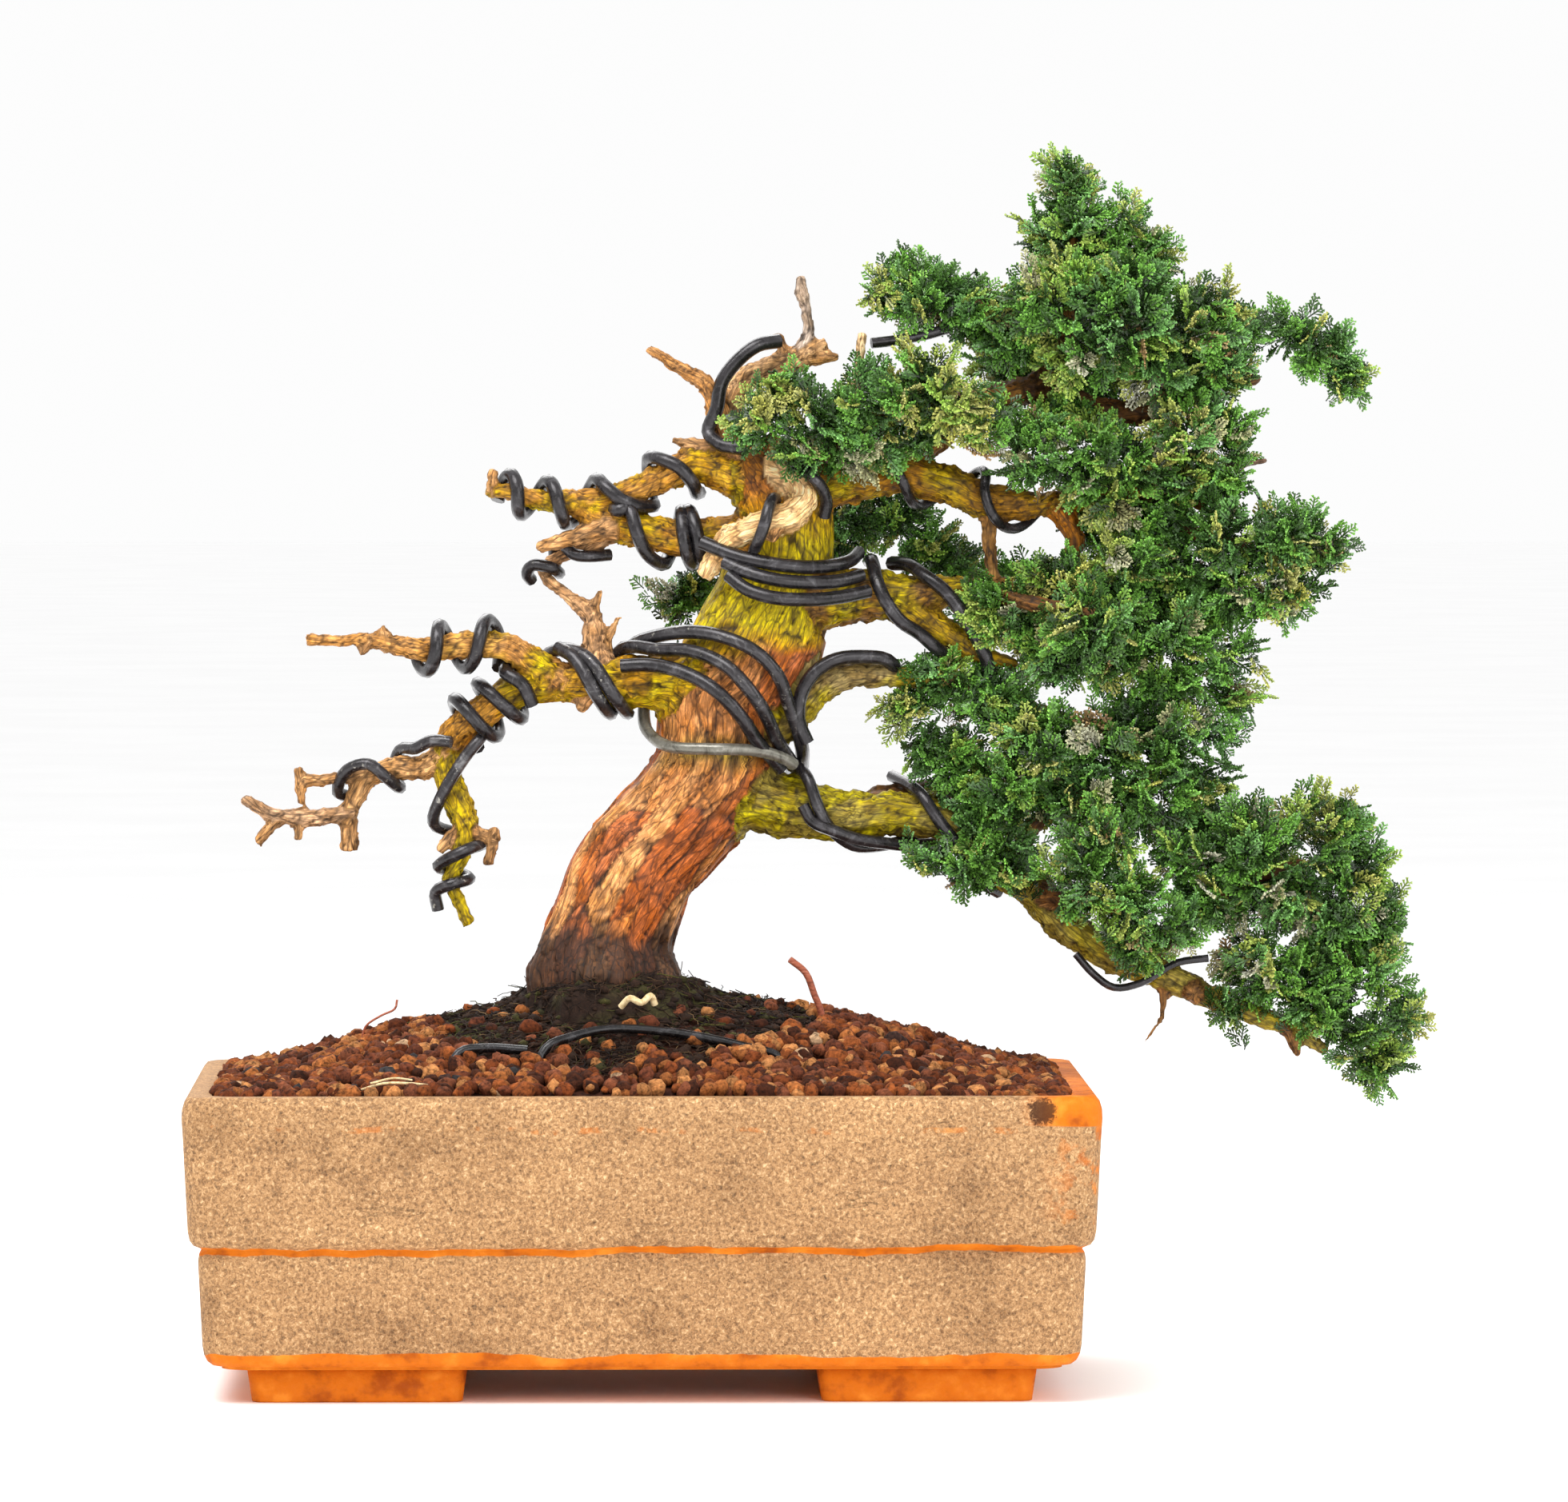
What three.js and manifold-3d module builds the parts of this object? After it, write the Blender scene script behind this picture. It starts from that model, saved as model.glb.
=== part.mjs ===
// A windswept conifer bonsai in a stepped clay pot. Millimetres, +Z up, the front faces -Y.
// The pieces are first placed about the pot's middle, and the whole is centred at the end.
import * as THREE from "three";
import { mergeVertices } from "three/addons/utils/BufferGeometryUtils.js";
import Module from "manifold-3d";

const wasm = await Module();
wasm.setup();

// ---- driving dimensions ----------------------------------------------------------------

const GAP = 0.3; // air between pieces that touch
const TIDY = 0.14; // how far a joined surface may move when its slivers are merged
const CUT_REACH = 1; // how far a cutting solid runs past the face that it cuts

const POT_WIDTH = 400;
const POT_DEPTH = 290;
const POT_HEIGHT = 134;
const POT_CORNER = 14;
const WALL = 14;
const STEP_HEIGHT = 69; // where the upper band overhangs the lower one
const STEP_INSET = 3.5;
const BAND_TAPER = 4.5; // how far each band narrows on a side from its top to its foot
const FLOOR_THICKNESS = 12;
const CORNER_STEPS = 3;
const FOOT_EDGE = 3; // height of the chamfer along the pot's lower edge
const FOOT_EDGE_INSET = 1.5;
const STEP_EDGE = 1; // the small slope above and below the step
const RIM_EDGE = 3; // height of the rim's rounding
const RIM_INSET = 2.5;
const FLOOR_NARROWING = 22; // how much narrower the inside is at its floor than at the rim
const STEP_NARROWING = 6;
const MOUTH_WIDENING = 2;
const MOUTH_REACH = 60; // how far the cutting solid of the inside rises over the rim
const HOLE_SIDES = 12;

const FOOT_HEIGHT = 15.5;
const FOOT_WIDTH = 97;
const FOOT_DEPTH = 70;
const FOOT_TAPER = 2.5;
const FOOT_CORNER = 6;
const FOOT_CENTRE_X = 124;
const FOOT_CENTRE_Y = 90;

const DRAIN_RADIUS = 17;
const DRAIN_X = 92;
const TIE_HOLE_RADIUS = 4.5;
const TIE_HOLE_X = 40;
const TIE_HOLE_Y = 45;

const MESH_SIDE = 46;
const MESH_THICKNESS = 1.2;
const MESH_HOLES = 4; // along each side
const MESH_HOLE_SIDE = 6.6;
const CLIP_RADIUS = 0.8;
const CLIP_FOOT = 10;
const CLIP_BEND = 3;
const CLIP_SHOULDER = 2;
const CLIP_STEPS = 14;
const POCKET_HEIGHT = 12; // room in the soil over a drain mesh

const SOIL_EDGE = 131; // height of the soil along the rim
const SOIL_RISE = 44; // how much higher it is heaped at the middle
const SOIL_CELLS_X = 10;
const SOIL_CELLS_Y = 8;
const HEAP_CURVE_X = 1.6; // how steeply the heap falls towards the ends and the long sides
const HEAP_CURVE_Y = 1.4;

const HEAVY = 3.2; // radii of the training wires
const MEDIUM = 2.8;
const LIGHT = 2.4;
const FINE = 1.7;
const ANCHOR_RADIUS = 2.1;
const ANCHOR_STEPS = 22;
const ROOT_RADIUS = 1.7;
const ROOT_STEPS = 8;
const WIRE_SIDES = 6;
const COIL_STEP = 45; // degrees between the points of a coil
const LIMB_SIDES = 6;
const STUB_SIDES = 5;
const TRUNK_SIDES = 14;
const ROOT_LOBES = 5;
const ROOT_FLARE = 0.07;
const ROOT_STATIONS = 2; // stations of the trunk that the root lobes reach
const BARK_LOBES = 3;
const BARK_LOBE_DEPTH = 0.035;
const TRUNK_BULGE = 1.05; // how far a wire keeps off a limb's plain round section
const LIMB_BULGE = 1.02;
const LIFT_PASSES = 3;

const FLOOR_TOP = FOOT_HEIGHT + FLOOR_THICKNESS;
const INNER_WIDTH = POT_WIDTH - 2 * WALL;
const INNER_DEPTH = POT_DEPTH - 2 * WALL;

// ---- the wood: centre lines as [x, y, z, radius] --------------------------------------------

const trunk = [
  [-17, 0, 150, 33], [-17, 0, 181, 35], [-15, 0, 198, 28.5], [-8, 0, 215, 28], [1, 0, 232, 27],
  [18, 0, 249, 27], [33, 0, 268, 29.5], [36, 0, 286, 30], [37, 0, 302, 31], [47, 0, 317, 30],
  [55, 1, 333, 29], [61, 2, 350, 26], [64, 2, 368, 23.5], [64, 2, 386, 22], [59, 1, 400, 20],
  [48, 0, 413, 14],
];

// dead and bare branches on the left
const lowLeft = [
  [34, -4, 308, 22], [16, -6, 311, 15], [0, -7, 310.5, 11.5], [-21, -8, 311, 10.5],
  [-39, -8, 310.5, 9.5], [-46, -8, 310, 8],
];
const upperFork = [
  [-36, -8, 311, 9], [-48, -10, 319, 8], [-60, -12, 327, 7], [-78, -14, 327, 6.5],
  [-97, -16, 325, 6], [-109, -17, 327, 5], [-123, -18, 330, 3.5], [-135, -18, 329, 3],
  [-148, -18, 330, 3.5],
];
const lowerFork = [
  [-38, -8, 311, 9], [-57, -6, 306, 8.5], [-68, -5, 298, 8.5], [-80, -4, 290, 8], [-88, -3, 279, 7],
];
const clawArm = [
  [-85, -3, 279, 7], [-97, -1, 272, 6], [-111, 1, 272, 5.5], [-121, 2, 268, 5], [-127, 3, 259, 5],
  [-131, 3, 249, 4.5],
];
const clawFinger = [
  [-128, 3, 252, 4], [-142, 2, 250, 4.5], [-155, 1, 250, 4.5], [-164, 0, 251, 4], [-177, -1, 259, 3.2],
];
const droopingArm = [
  [-87, -3, 280, 7], [-85, -5, 267, 6.5], [-82, -7, 259, 7], [-78, -8, 249, 6.5], [-77, -8, 242, 5.5],
  [-80, -8, 233, 4.5], [-85, -7, 223, 4], [-82, -6, 215, 3.5], [-76, -5, 202, 3.5],
];
const hookedTwig = [
  [-19, -4, 318, 9], [-20, -2, 330, 6.5], [-22, 0, 341, 5], [-31, 2, 348, 3.5], [-41, 4, 355, 3.5],
  [-44, 6, 361, 3.5], [-36, 6, 366, 3.5], [-25, 5, 369, 4], [-11, 3, 376, 4],
];
const highLeft = [
  [44, 0, 403, 13], [33, 0, 406, 10], [22, 0, 407, 8], [10, 0, 401, 7], [-4, 0, 395, 6.5],
  [-15, 0, 390, 7], [-29, 0, 390, 6.5], [-45, -1, 391, 5], [-58, -2, 395, 4], [-67, -2, 396, 3.5],
];
const loopArm = [
  [50, -2, 374, 12], [37, -3, 376, 9], [25, -3, 375, 8.5], [18, -3, 374, 8.5], [2, -2, 377, 9],
  [-13, -1, 381, 8], [-26, 0, 387, 6],
];
const peeledStub = [
  [60, -8, 405, 7], [71, -19, 399, 6.5], [73, -24, 391, 6.5], [66, -29, 384, 7], [53, -29, 380, 7],
  [40, -23, 375, 6.5], [33, -18, 366, 5.5], [28, -17, 357, 4.5],
];
const topLeftJin = [
  [46, 0, 408, 11], [40, 0, 416, 7], [35, 0, 427, 5.5], [33, 0, 436, 5], [28, 1, 444, 4.5],
  [16, 2, 451, 3.2], [3, 3, 459, 2.8],
];
const topRightJin = [
  [44, 3, 412, 8], [40, 5, 424, 6], [42, 6, 437, 6], [48, 5, 446, 6.5], [60, 4, 450, 7],
  [71, 3, 454, 6.5], [83, 2, 462, 2.6],
];
const topSpike = [
  [69, 3, 454, 3.5], [75, 3, 466, 3], [74, 3, 476, 2.8], [72, 3, 483, 4], [71, 3, 491, 2.6],
];

// living branches on the right, with the inner ones that carry the foliage
const lowRight = [
  [40, -2, 262, 20], [57, -4, 257, 15.5], [75, -6, 253, 13], [92, -8, 251, 11.5], [112, -10, 252, 10.5],
  [132, -10, 250, 10], [149, -10, 239, 10], [174, -10, 219, 9.5], [188, -10, 203, 9],
  [212, -10, 187, 8], [232, -10, 180, 7.5], [260, -11, 167, 6], [286, -12, 158, 4.5],
  [306, -12, 146, 3],
];
const midRight = [
  [50, -4, 290, 14], [66, -8, 292, 9], [75, -11, 303, 8], [84, -13, 311, 7.5], [96, -14, 314, 6.5],
  [114, -14, 313, 5.5], [142, -12, 309, 5], [170, -8, 300, 4], [200, -6, 290, 3.5], [228, -4, 285, 3],
];
const shoulderRight = [
  [64, -2, 350, 18], [85, -4, 347, 14], [103, -5, 349, 12], [117, -6, 349, 10], [139, -7, 351, 7],
  [156, -7, 351, 6], [178, -7, 352, 6], [204, -6, 347, 5], [234, -5, 340, 4], [262, -4, 345, 3],
];
const shoulderFork = [[115, -6, 345, 9], [137, -8, 331, 7], [152, -9, 322, 5], [168, -10, 318, 3]];
const highRight = [
  [64, 0, 396, 16], [82, -1, 400, 13], [100, -2, 401, 11], [116, -3, 404, 10], [137, -3, 398, 9.5],
  [155, -3, 390, 9], [176, -3, 389, 6.5], [200, -4, 392, 5], [232, -5, 396, 4], [252, -5, 388, 3],
];
const crossTwig = [[156, -3, 388, 4], [155, -4, 372, 3.5], [157, -6, 353, 3.5]];
const dropTwig = [[186, -5, 388, 6], [194, -5, 374, 5], [190, -6, 360, 5.5], [180, -7, 352, 5]];
const leader = [
  [100, -2, 401, 8], [116, 2, 409, 8.5], [132, 5, 420, 8.5], [144, 6, 433, 8], [162, 6, 437, 7.5],
  [178, 5, 442, 7], [189, 3, 456, 5.5], [190, 1, 479, 4.5], [192, 0, 507, 3.5], [192, 0, 530, 2.4],
];
const crownRight = [
  [174, 5, 440, 6.5], [206, 2, 430, 7], [224, 0, 429, 6], [246, -2, 437, 4], [276, -4, 446, 3],
];
const crownLeft = [[188, 3, 462, 5], [162, 2, 474, 3.5], [142, 0, 480, 3], [120, -2, 483, 2.5]];
const padCarrier = [
  [64, -6, 400, 9], [78, -16, 412, 6], [92, -22, 422, 5], [112, -26, 428, 4], [134, -32, 432, 3],
];
const palePeg = [[92, -22, 422, 4.5], [96, -20, 440, 4], [97, -19, 452, 2.8], [98, -19, 466, 2.8]];
const tailCarrier = [[222, -10, 184, 6], [244, -13, 206, 4.5], [268, -16, 222, 4], [296, -16, 230, 3]];
const lowCarrier = [[168, -10, 226, 6], [172, -12, 244, 4.5], [186, -14, 258, 4], [214, -14, 264, 3]];
const tuftCarrier = [[52, 18, 332, 7], [38, 30, 338, 4], [26, 34, 344, 2.6]];
const greyTwig = [[247, -5, 391, 4], [254, -5, 404, 3], [266, -6, 407, 2], [279, -7, 409, 2]];
const backHigh = [[116, 2, 410, 6], [142, 30, 424, 4.5], [176, 52, 440, 3.5], [206, 60, 446, 3]];
const backMiddle = [[90, 4, 348, 9], [116, 30, 352, 5.5], [152, 52, 352, 4], [196, 60, 348, 3]];
const backLow = [[104, -4, 256, 8], [134, 22, 262, 5.5], [170, 42, 262, 4], [212, 50, 250, 3]];
const frontMiddle = [[150, -8, 350, 5], [172, -34, 346, 4], [204, -50, 340, 3]];
const frontLow = [[178, -12, 216, 6], [194, -32, 214, 4], [212, -44, 210, 3]];
const rightHigh = [[226, -5, 394, 4], [246, -12, 376, 3.5], [280, -12, 370, 3]];

const limbs = [
  lowLeft, upperFork, lowerFork, clawArm, clawFinger, droopingArm, hookedTwig, highLeft, loopArm,
  peeledStub, topLeftJin, topRightJin, topSpike, lowRight, midRight, shoulderRight, shoulderFork,
  highRight, crossTwig, dropTwig, leader, crownRight, crownLeft, padCarrier, palePeg, tailCarrier,
  lowCarrier, tuftCarrier, greyTwig, backHigh, backMiddle, backLow, frontMiddle, frontLow, rightHigh,
];

// short cut ends and snags: start and end with a radius each
const stubs = [
  [[-24, -9, 304, 4.5], [-27, -10, 297, 3]],
  [[-113, -17, 327, 3.5], [-115, -17, 336, 2.4]],
  [[-120, -18, 329, 3], [-124, -19, 322, 2.4]],
  [[-160, 1, 250, 3.5], [-171, 0, 239, 3]],
  [[-152, 2, 249, 3], [-153, 2, 239, 2.6]],
  [[-130, 3, 250, 4.5], [-130, 3, 235, 5]],
  [[-119, 2, 269, 4], [-150, 2, 266, 3]],
  [[-152, 2, 272.5, 3], [-151, 2, 257, 3]],
  [[-84, -8, 243, 3.5], [-90, -9, 235, 3]],
  [[-77, -8, 245, 4], [-66, -9, 241, 3]],
  [[-64, -9, 246, 3], [-68, -9, 229, 3.4]],
  [[-21, 0, 338, 3], [-18, 0, 352, 1.8]],
  [[-16, -3, 326, 3], [-9, -3, 340, 1.6]],
  [[-65, -2, 405, 3], [-67, -2, 392, 3.4]],
  [[-14, -3, 379, 6], [-46, -5, 370, 3.4]],
  [[62, -29, 383, 3.5], [58, -33, 373, 2.6]],
  [[36, 0, 415, 4], [14, 1, 418, 2.4]],
  [[72, 3, 454, 5], [89, 1, 455, 2.4]],
  [[66, 3, 453, 3.4], [61, 3, 466, 2.6]],
  [[286, -12, 158, 3.6], [293, -14, 144, 2.4]],
  [[246, -10, 173, 5], [246, -20, 172, 5]],
  [[233, -10, 178, 3], [232, -12, 160, 1.6]],
  [[232, -12, 161, 1.6], [224, -13, 150, 1.3]],
];

// ---- shaping helpers -------------------------------------------------------------------------

function solidOf(geometry) {
  const bare = geometry.clone();
  bare.deleteAttribute("normal");
  bare.deleteAttribute("uv");
  const merged = mergeVertices(bare);
  return new wasm.Manifold(new wasm.Mesh({
    numProp: 3,
    vertProperties: new Float32Array(merged.attributes.position.array),
    triVerts: new Uint32Array(merged.index.array),
  }));
}

function joined(solids) {
  return solids.reduce((whole, solid) => whole.add(solid));
}

// the largest body of a solid, without the crumbs that a cut can leave
function mainBody(solid) {
  return solid.decompose().reduce((best, body) => (body.volume() > best.volume() ? body : best));
}

// a cylinder whose rings of vertices are laid out by place(ringIndex, angle, reach)
function reshapedCylinder(sides, rings, place) {
  const geometry = new THREE.CylinderGeometry(1, 1, 1, sides, rings - 1);
  const position = geometry.attributes.position;
  const spot = new THREE.Vector3();
  for (let index = 0; index < position.count; index += 1) {
    spot.fromBufferAttribute(position, index);
    const ring = Math.round((spot.y + 0.5) * (rings - 1));
    const reach = Math.round(Math.hypot(spot.x, spot.z));
    const placed = place(ring, Math.atan2(-spot.z, spot.x), reach);
    position.setXYZ(index, placed.x, placed.y, placed.z);
  }
  return solidOf(geometry);
}

// a rounded rectangle that changes size with height: levels are {z, width, depth, corner}
function loft(levels, centreX = 0, centreY = 0) {
  const perCorner = CORNER_STEPS + 1;
  const sides = 4 * perCorner;
  return reshapedCylinder(sides, levels.length, (ring, angle, reach) => {
    const level = levels[ring];
    const step = ((Math.round((angle / (2 * Math.PI)) * sides) % sides) + sides) % sides;
    const quarter = Math.floor(step / perCorner);
    const turn = ((step % perCorner) / CORNER_STEPS + quarter) * (Math.PI / 2);
    const signX = quarter === 0 || quarter === 3 ? 1 : -1;
    const signY = quarter < 2 ? 1 : -1;
    const cornerX = signX * (level.width / 2 - level.corner) + level.corner * Math.cos(turn);
    const cornerY = signY * (level.depth / 2 - level.corner) + level.corner * Math.sin(turn);
    return new THREE.Vector3(centreX + reach * cornerX, centreY + reach * cornerY, level.z);
  });
}

const pointOf = ([x, y, z]) => new THREE.Vector3(x, y, z);

// the point, direction and radius of a limb at a fractional index along its list
function alongLimb(limb, index) {
  const curve = new THREE.CatmullRomCurve3(limb.map(pointOf));
  const share = THREE.MathUtils.clamp(index / (limb.length - 1), 0, 1);
  const low = Math.min(Math.floor(index), limb.length - 2);
  return {
    centre: curve.getPoint(share),
    direction: curve.getTangent(share),
    radius: THREE.MathUtils.lerp(limb[low][3], limb[low + 1][3], index - low),
  };
}

// a tapering limb with a round section; swell(angle, station) may vary its radius
function limbSolid(limb, sides = LIMB_SIDES, extra = 0, swell = () => 1) {
  const stations = limb.map((point, index) => alongLimb(limb, index));
  let across = new THREE.Vector3(0, -1, 0);
  const frames = stations.map(({ direction }) => {
    across = across.clone().addScaledVector(direction, -across.dot(direction)).normalize();
    return { across, aside: new THREE.Vector3().crossVectors(direction, across) };
  });
  return reshapedCylinder(sides, limb.length, (ring, angle, reach) => {
    const { centre, direction, radius } = stations[ring];
    const wide = reach * (radius * swell(angle, ring) + extra);
    const end = ring === 0 ? -extra : ring === limb.length - 1 ? extra : 0;
    return centre.clone()
      .addScaledVector(direction, end)
      .addScaledVector(frames[ring].across, wide * Math.cos(angle))
      .addScaledVector(frames[ring].aside, wide * Math.sin(angle));
  });
}

// the trunk spreads in root lobes at its base and stays slightly lobed above
function trunkSwell(angle, station) {
  const flare = station < ROOT_STATIONS ? ROOT_FLARE * Math.cos(ROOT_LOBES * angle) : 0;
  return 1 + flare + BARK_LOBE_DEPTH * Math.cos(BARK_LOBES * angle + station);
}

function woodSolid(extra = 0) {
  const pieces = [limbSolid(trunk, TRUNK_SIDES, extra, trunkSwell)];
  limbs.forEach((limb) => pieces.push(limbSolid(limb, LIMB_SIDES, extra)));
  stubs.forEach((stub) => pieces.push(limbSolid(stub, STUB_SIDES, extra)));
  return joined(pieces);
}

// ---- wires -----------------------------------------------------------------------------------

const everyLimb = [trunk, ...limbs, ...stubs];

// pushes a wire's centre line out of the wood until the wire lies on the bark
function liftedFromWood(points, radius) {
  return points.map((point) => {
    const lifted = point.clone();
    for (let pass = 0; pass < LIFT_PASSES; pass += 1) {
      everyLimb.forEach((limb) => {
        for (let index = 0; index < limb.length - 1; index += 1) {
          const line = new THREE.Line3(pointOf(limb[index]), pointOf(limb[index + 1]));
          const share = line.closestPointToPointParameter(lifted, true);
          const nearest = line.at(share, new THREE.Vector3());
          const swollen = limb === trunk ? TRUNK_BULGE : LIMB_BULGE;
          const bark = THREE.MathUtils.lerp(limb[index][3], limb[index + 1][3], share) * swollen;
          const away = lifted.clone().sub(nearest);
          const wanted = bark + radius + GAP;
          if (away.length() < wanted) {
            lifted.copy(nearest).add(away.setLength(wanted));
          }
        }
      });
    }
    return lifted;
  });
}

// a coil around a limb through keys of [index along the limb, turn in degrees]:
// 0 faces the front, and 90 the top of a limb that runs left
function coil(limb, keys, radius) {
  const points = [];
  keys.slice(1).forEach(([endIndex, endTurn], number) => {
    const [startIndex, startTurn] = keys[number];
    const steps = Math.max(1, Math.round(Math.abs(endTurn - startTurn) / COIL_STEP));
    for (let step = number === 0 ? 0 : 1; step <= steps; step += 1) {
      const share = step / steps;
      const turn = THREE.MathUtils.degToRad(THREE.MathUtils.lerp(startTurn, endTurn, share));
      const place = alongLimb(limb, THREE.MathUtils.lerp(startIndex, endIndex, share));
      const front = new THREE.Vector3(0, -1, 0);
      front.addScaledVector(place.direction, -front.dot(place.direction)).normalize();
      const top = new THREE.Vector3().crossVectors(place.direction, front);
      const reach = place.radius + radius + GAP;
      points.push(place.centre
        .addScaledVector(front, reach * Math.cos(turn))
        .addScaledVector(top, reach * Math.sin(turn)));
    }
  });
  return points;
}

const freePath = (...places) => places.map(pointOf);

function tube(points, radius, steps, extra = 0) {
  const section = new THREE.Shape().absarc(0, 0, radius + extra, 0, 2 * Math.PI);
  return solidOf(new THREE.ExtrudeGeometry(section, {
    curveSegments: WIRE_SIDES / 2,
    steps,
    bevelEnabled: false,
    extrudePath: new THREE.CatmullRomCurve3(points),
  }));
}

const wires = {
  wire_high_left: [HEAVY, coil(highLeft, [
    [1.4, -110], [1.6, -90], [3.1, 90], [3.7, 270], [5.3, 450], [6.2, 630], [6.8, 810], [7.4, 990],
    [8.1, 1170], [8.6, 1300]], HEAVY)],
  wire_loop_arm: [HEAVY, coil(loopArm, [
    [1.7, -810], [2.2, -630], [3, -270], [3.4, -90], [5, 90], [5.6, 190]], HEAVY)],
  wire_hooked_twig: [MEDIUM, coil(hookedTwig, [
    [4.6, -120], [5.4, 90], [6.2, 290], [7.6, 440]], MEDIUM)],
  wire_left_tip: [HEAVY, coil(upperFork, [
    [1.8, 250], [2.45, 90], [3, -90], [3.5, -270], [3.9, -450], [4.2, -560]], HEAVY)],
  wire_fork: [HEAVY, coil(lowerFork, [
    [0.55, -40], [1, 200], [2, 560], [2.9, 900], [3.1, 980]], HEAVY)],
  wire_drooping_arm: [MEDIUM, freePath(
    [-70, 4, 292], [-72, -10, 288], [-78, -14, 277], [-87, -14, 261], [-92, -8, 248], [-83, 4, 243],
    [-70, -2, 239], [-78, -15, 236], [-89, -9, 230], [-84, 1, 226], [-76, -6, 223], [-84, -13, 221],
    [-91, -8, 217], [-90, -6, 209])],
  wire_claw_arm: [MEDIUM, freePath(
    [-84, -13, 284], [-92, -10, 284], [-100, -6, 281], [-107, 4, 279], [-110, 10, 270], [-107, 1, 264],
    [-114, -7, 269], [-121, -7, 274], [-130, -3, 271], [-135, 4, 263], [-130, 10, 259])],
  wire_trunk_upper: [HEAVY, freePath(
    [72, 6, 272], [68, -12, 287], [65, -26, 302], [60, -33, 315], [50, -34, 325], [36, -30, 331],
    [22, -22, 333], [8, -12, 331], [-4, -2, 326], [-8, 8, 314], [-7, 4, 300], [-6, -14, 297],
    [-12, -26, 305], [-22, -22, 320], [-32, -12, 325], [-42, 0, 321], [-46, 6, 310])],
  wire_trunk_middle: [HEAVY, freePath(
    [66, -8, 272], [60, -26, 286], [54.5, -37, 298], [48, -41, 307.5], [38, -38, 318], [23, -28, 324.5],
    [8, -18, 325], [-6, -6, 321], [-14, 8, 312], [-13, 3, 300], [-14, -16, 297], [-20, -26, 306],
    [-29, -20, 321], [-38, -10, 322])],
  wire_trunk_lower: [HEAVY, freePath(
    [59, -18, 272], [52, -32, 284], [45.5, -40, 294], [38, -43, 303], [28, -39, 311], [15, -31, 316.5],
    [3, -23, 318.5], [-8, -17, 316])],
  wire_grey_band: [MEDIUM, freePath(
    [14, 6, 300], [6, 2, 296], [6, -10, 288], [14, -24, 282], [30, -34, 281.5], [48, -33, 281],
    [58, -28, 279], [65, -23, 276], [68, -20, 274])],
  wire_neck_top: [HEAVY, freePath(
    [33, -21, 371], [42, -28, 368], [54, -33, 364], [68, -33, 362], [82, -27, 362], [92, -18, 364],
    [97, -6, 368])],
  wire_neck_middle: [HEAVY, freePath(
    [37, -26, 365], [46, -33, 360], [58, -36, 356.5], [72, -35, 355], [87, -28, 355.5], [98, -20, 358])],
  wire_neck_low: [HEAVY, freePath(
    [39, -31, 358], [47, -37, 352], [58, -40, 348.5], [73, -38, 347.5], [88, -30, 348.5],
    [101, -22, 351])],
  wire_peeled_stub: [MEDIUM, coil(peeledStub, [[3, 170], [3.8, 0], [4.6, -110]], MEDIUM)],
  wire_peeled_elbow: [MEDIUM, freePath(
    [62, -16, 409], [68, -22, 406], [76, -25, 399], [80, -22, 391], [78, -14, 383])],
  wire_top_jin: [HEAVY, freePath(
    [62, -4, 462], [52, -8, 460], [42, -8, 452], [36, -8, 443], [34, -8, 432], [31, -6, 422],
    [36, -12, 416], [46, -15, 414])],
  wire_low_right_a: [MEDIUM, freePath(
    [64, 6, 270], [69, -8, 273], [74, -19, 268], [78, -23, 257], [84, -21, 246], [94, -14, 240],
    [106, -8, 238], [118, -2, 240], [128, 6, 243])],
  wire_low_right_b: [MEDIUM, freePath(
    [72, -22, 256], [76, -23, 249], [85, -24, 245], [96, -21, 241], [108, -16, 239], [120, -10, 238],
    [132, -3, 240])],
  wire_low_right_loop: [MEDIUM, freePath(
    [114, 6, 262], [119, -8, 264.5], [125, -20, 260], [131, -24, 251], [137, -23, 243], [145, -20, 234],
    [154, -13, 226], [162, -6, 220])],
  wire_mid_right: [HEAVY, freePath(
    [74, -20, 284], [70, -22, 294], [71, -23, 305], [77, -24, 315], [87, -24, 321], [99, -22, 322],
    [109, -17, 317], [115, -12, 312])],
  wire_shoulder_a: [HEAVY, freePath(
    [102, 4, 364], [103, -10, 363], [105, -20, 355], [109, -24, 346], [115, -23, 338], [124, -18, 332],
    [134, -12, 328], [142, -6, 325])],
  wire_shoulder_b: [HEAVY, freePath(
    [112, 6, 363], [119, -6, 361.5], [127, -16, 357], [135, -20, 351], [142, -21, 342], [148, -20, 332],
    [153, -17, 322], [156, -12, 315])],
  wire_high_right_a: [LIGHT, coil(highRight, [[2.1, -180], [2.8, -20], [3.9, 150]], LIGHT)],
  wire_high_right_b: [LIGHT, coil(highRight, [[4.2, -200], [4.8, -20], [6.1, 170]], LIGHT)],
  wire_crown_tie: [LIGHT, freePath([101, -17, 461], [112, -14, 462], [128, -10, 465], [138, -8, 468])],
  wire_tail_loop: [FINE, freePath(
    [193, -22, 190], [201, -22, 181], [210, -22, 175], [222, -22, 177], [238, -22, 186], [252, -22, 188])],
};

// ---- foliage: each pad is a cluster of lumps [x, y, z, half width, half depth, half height] --------

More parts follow.
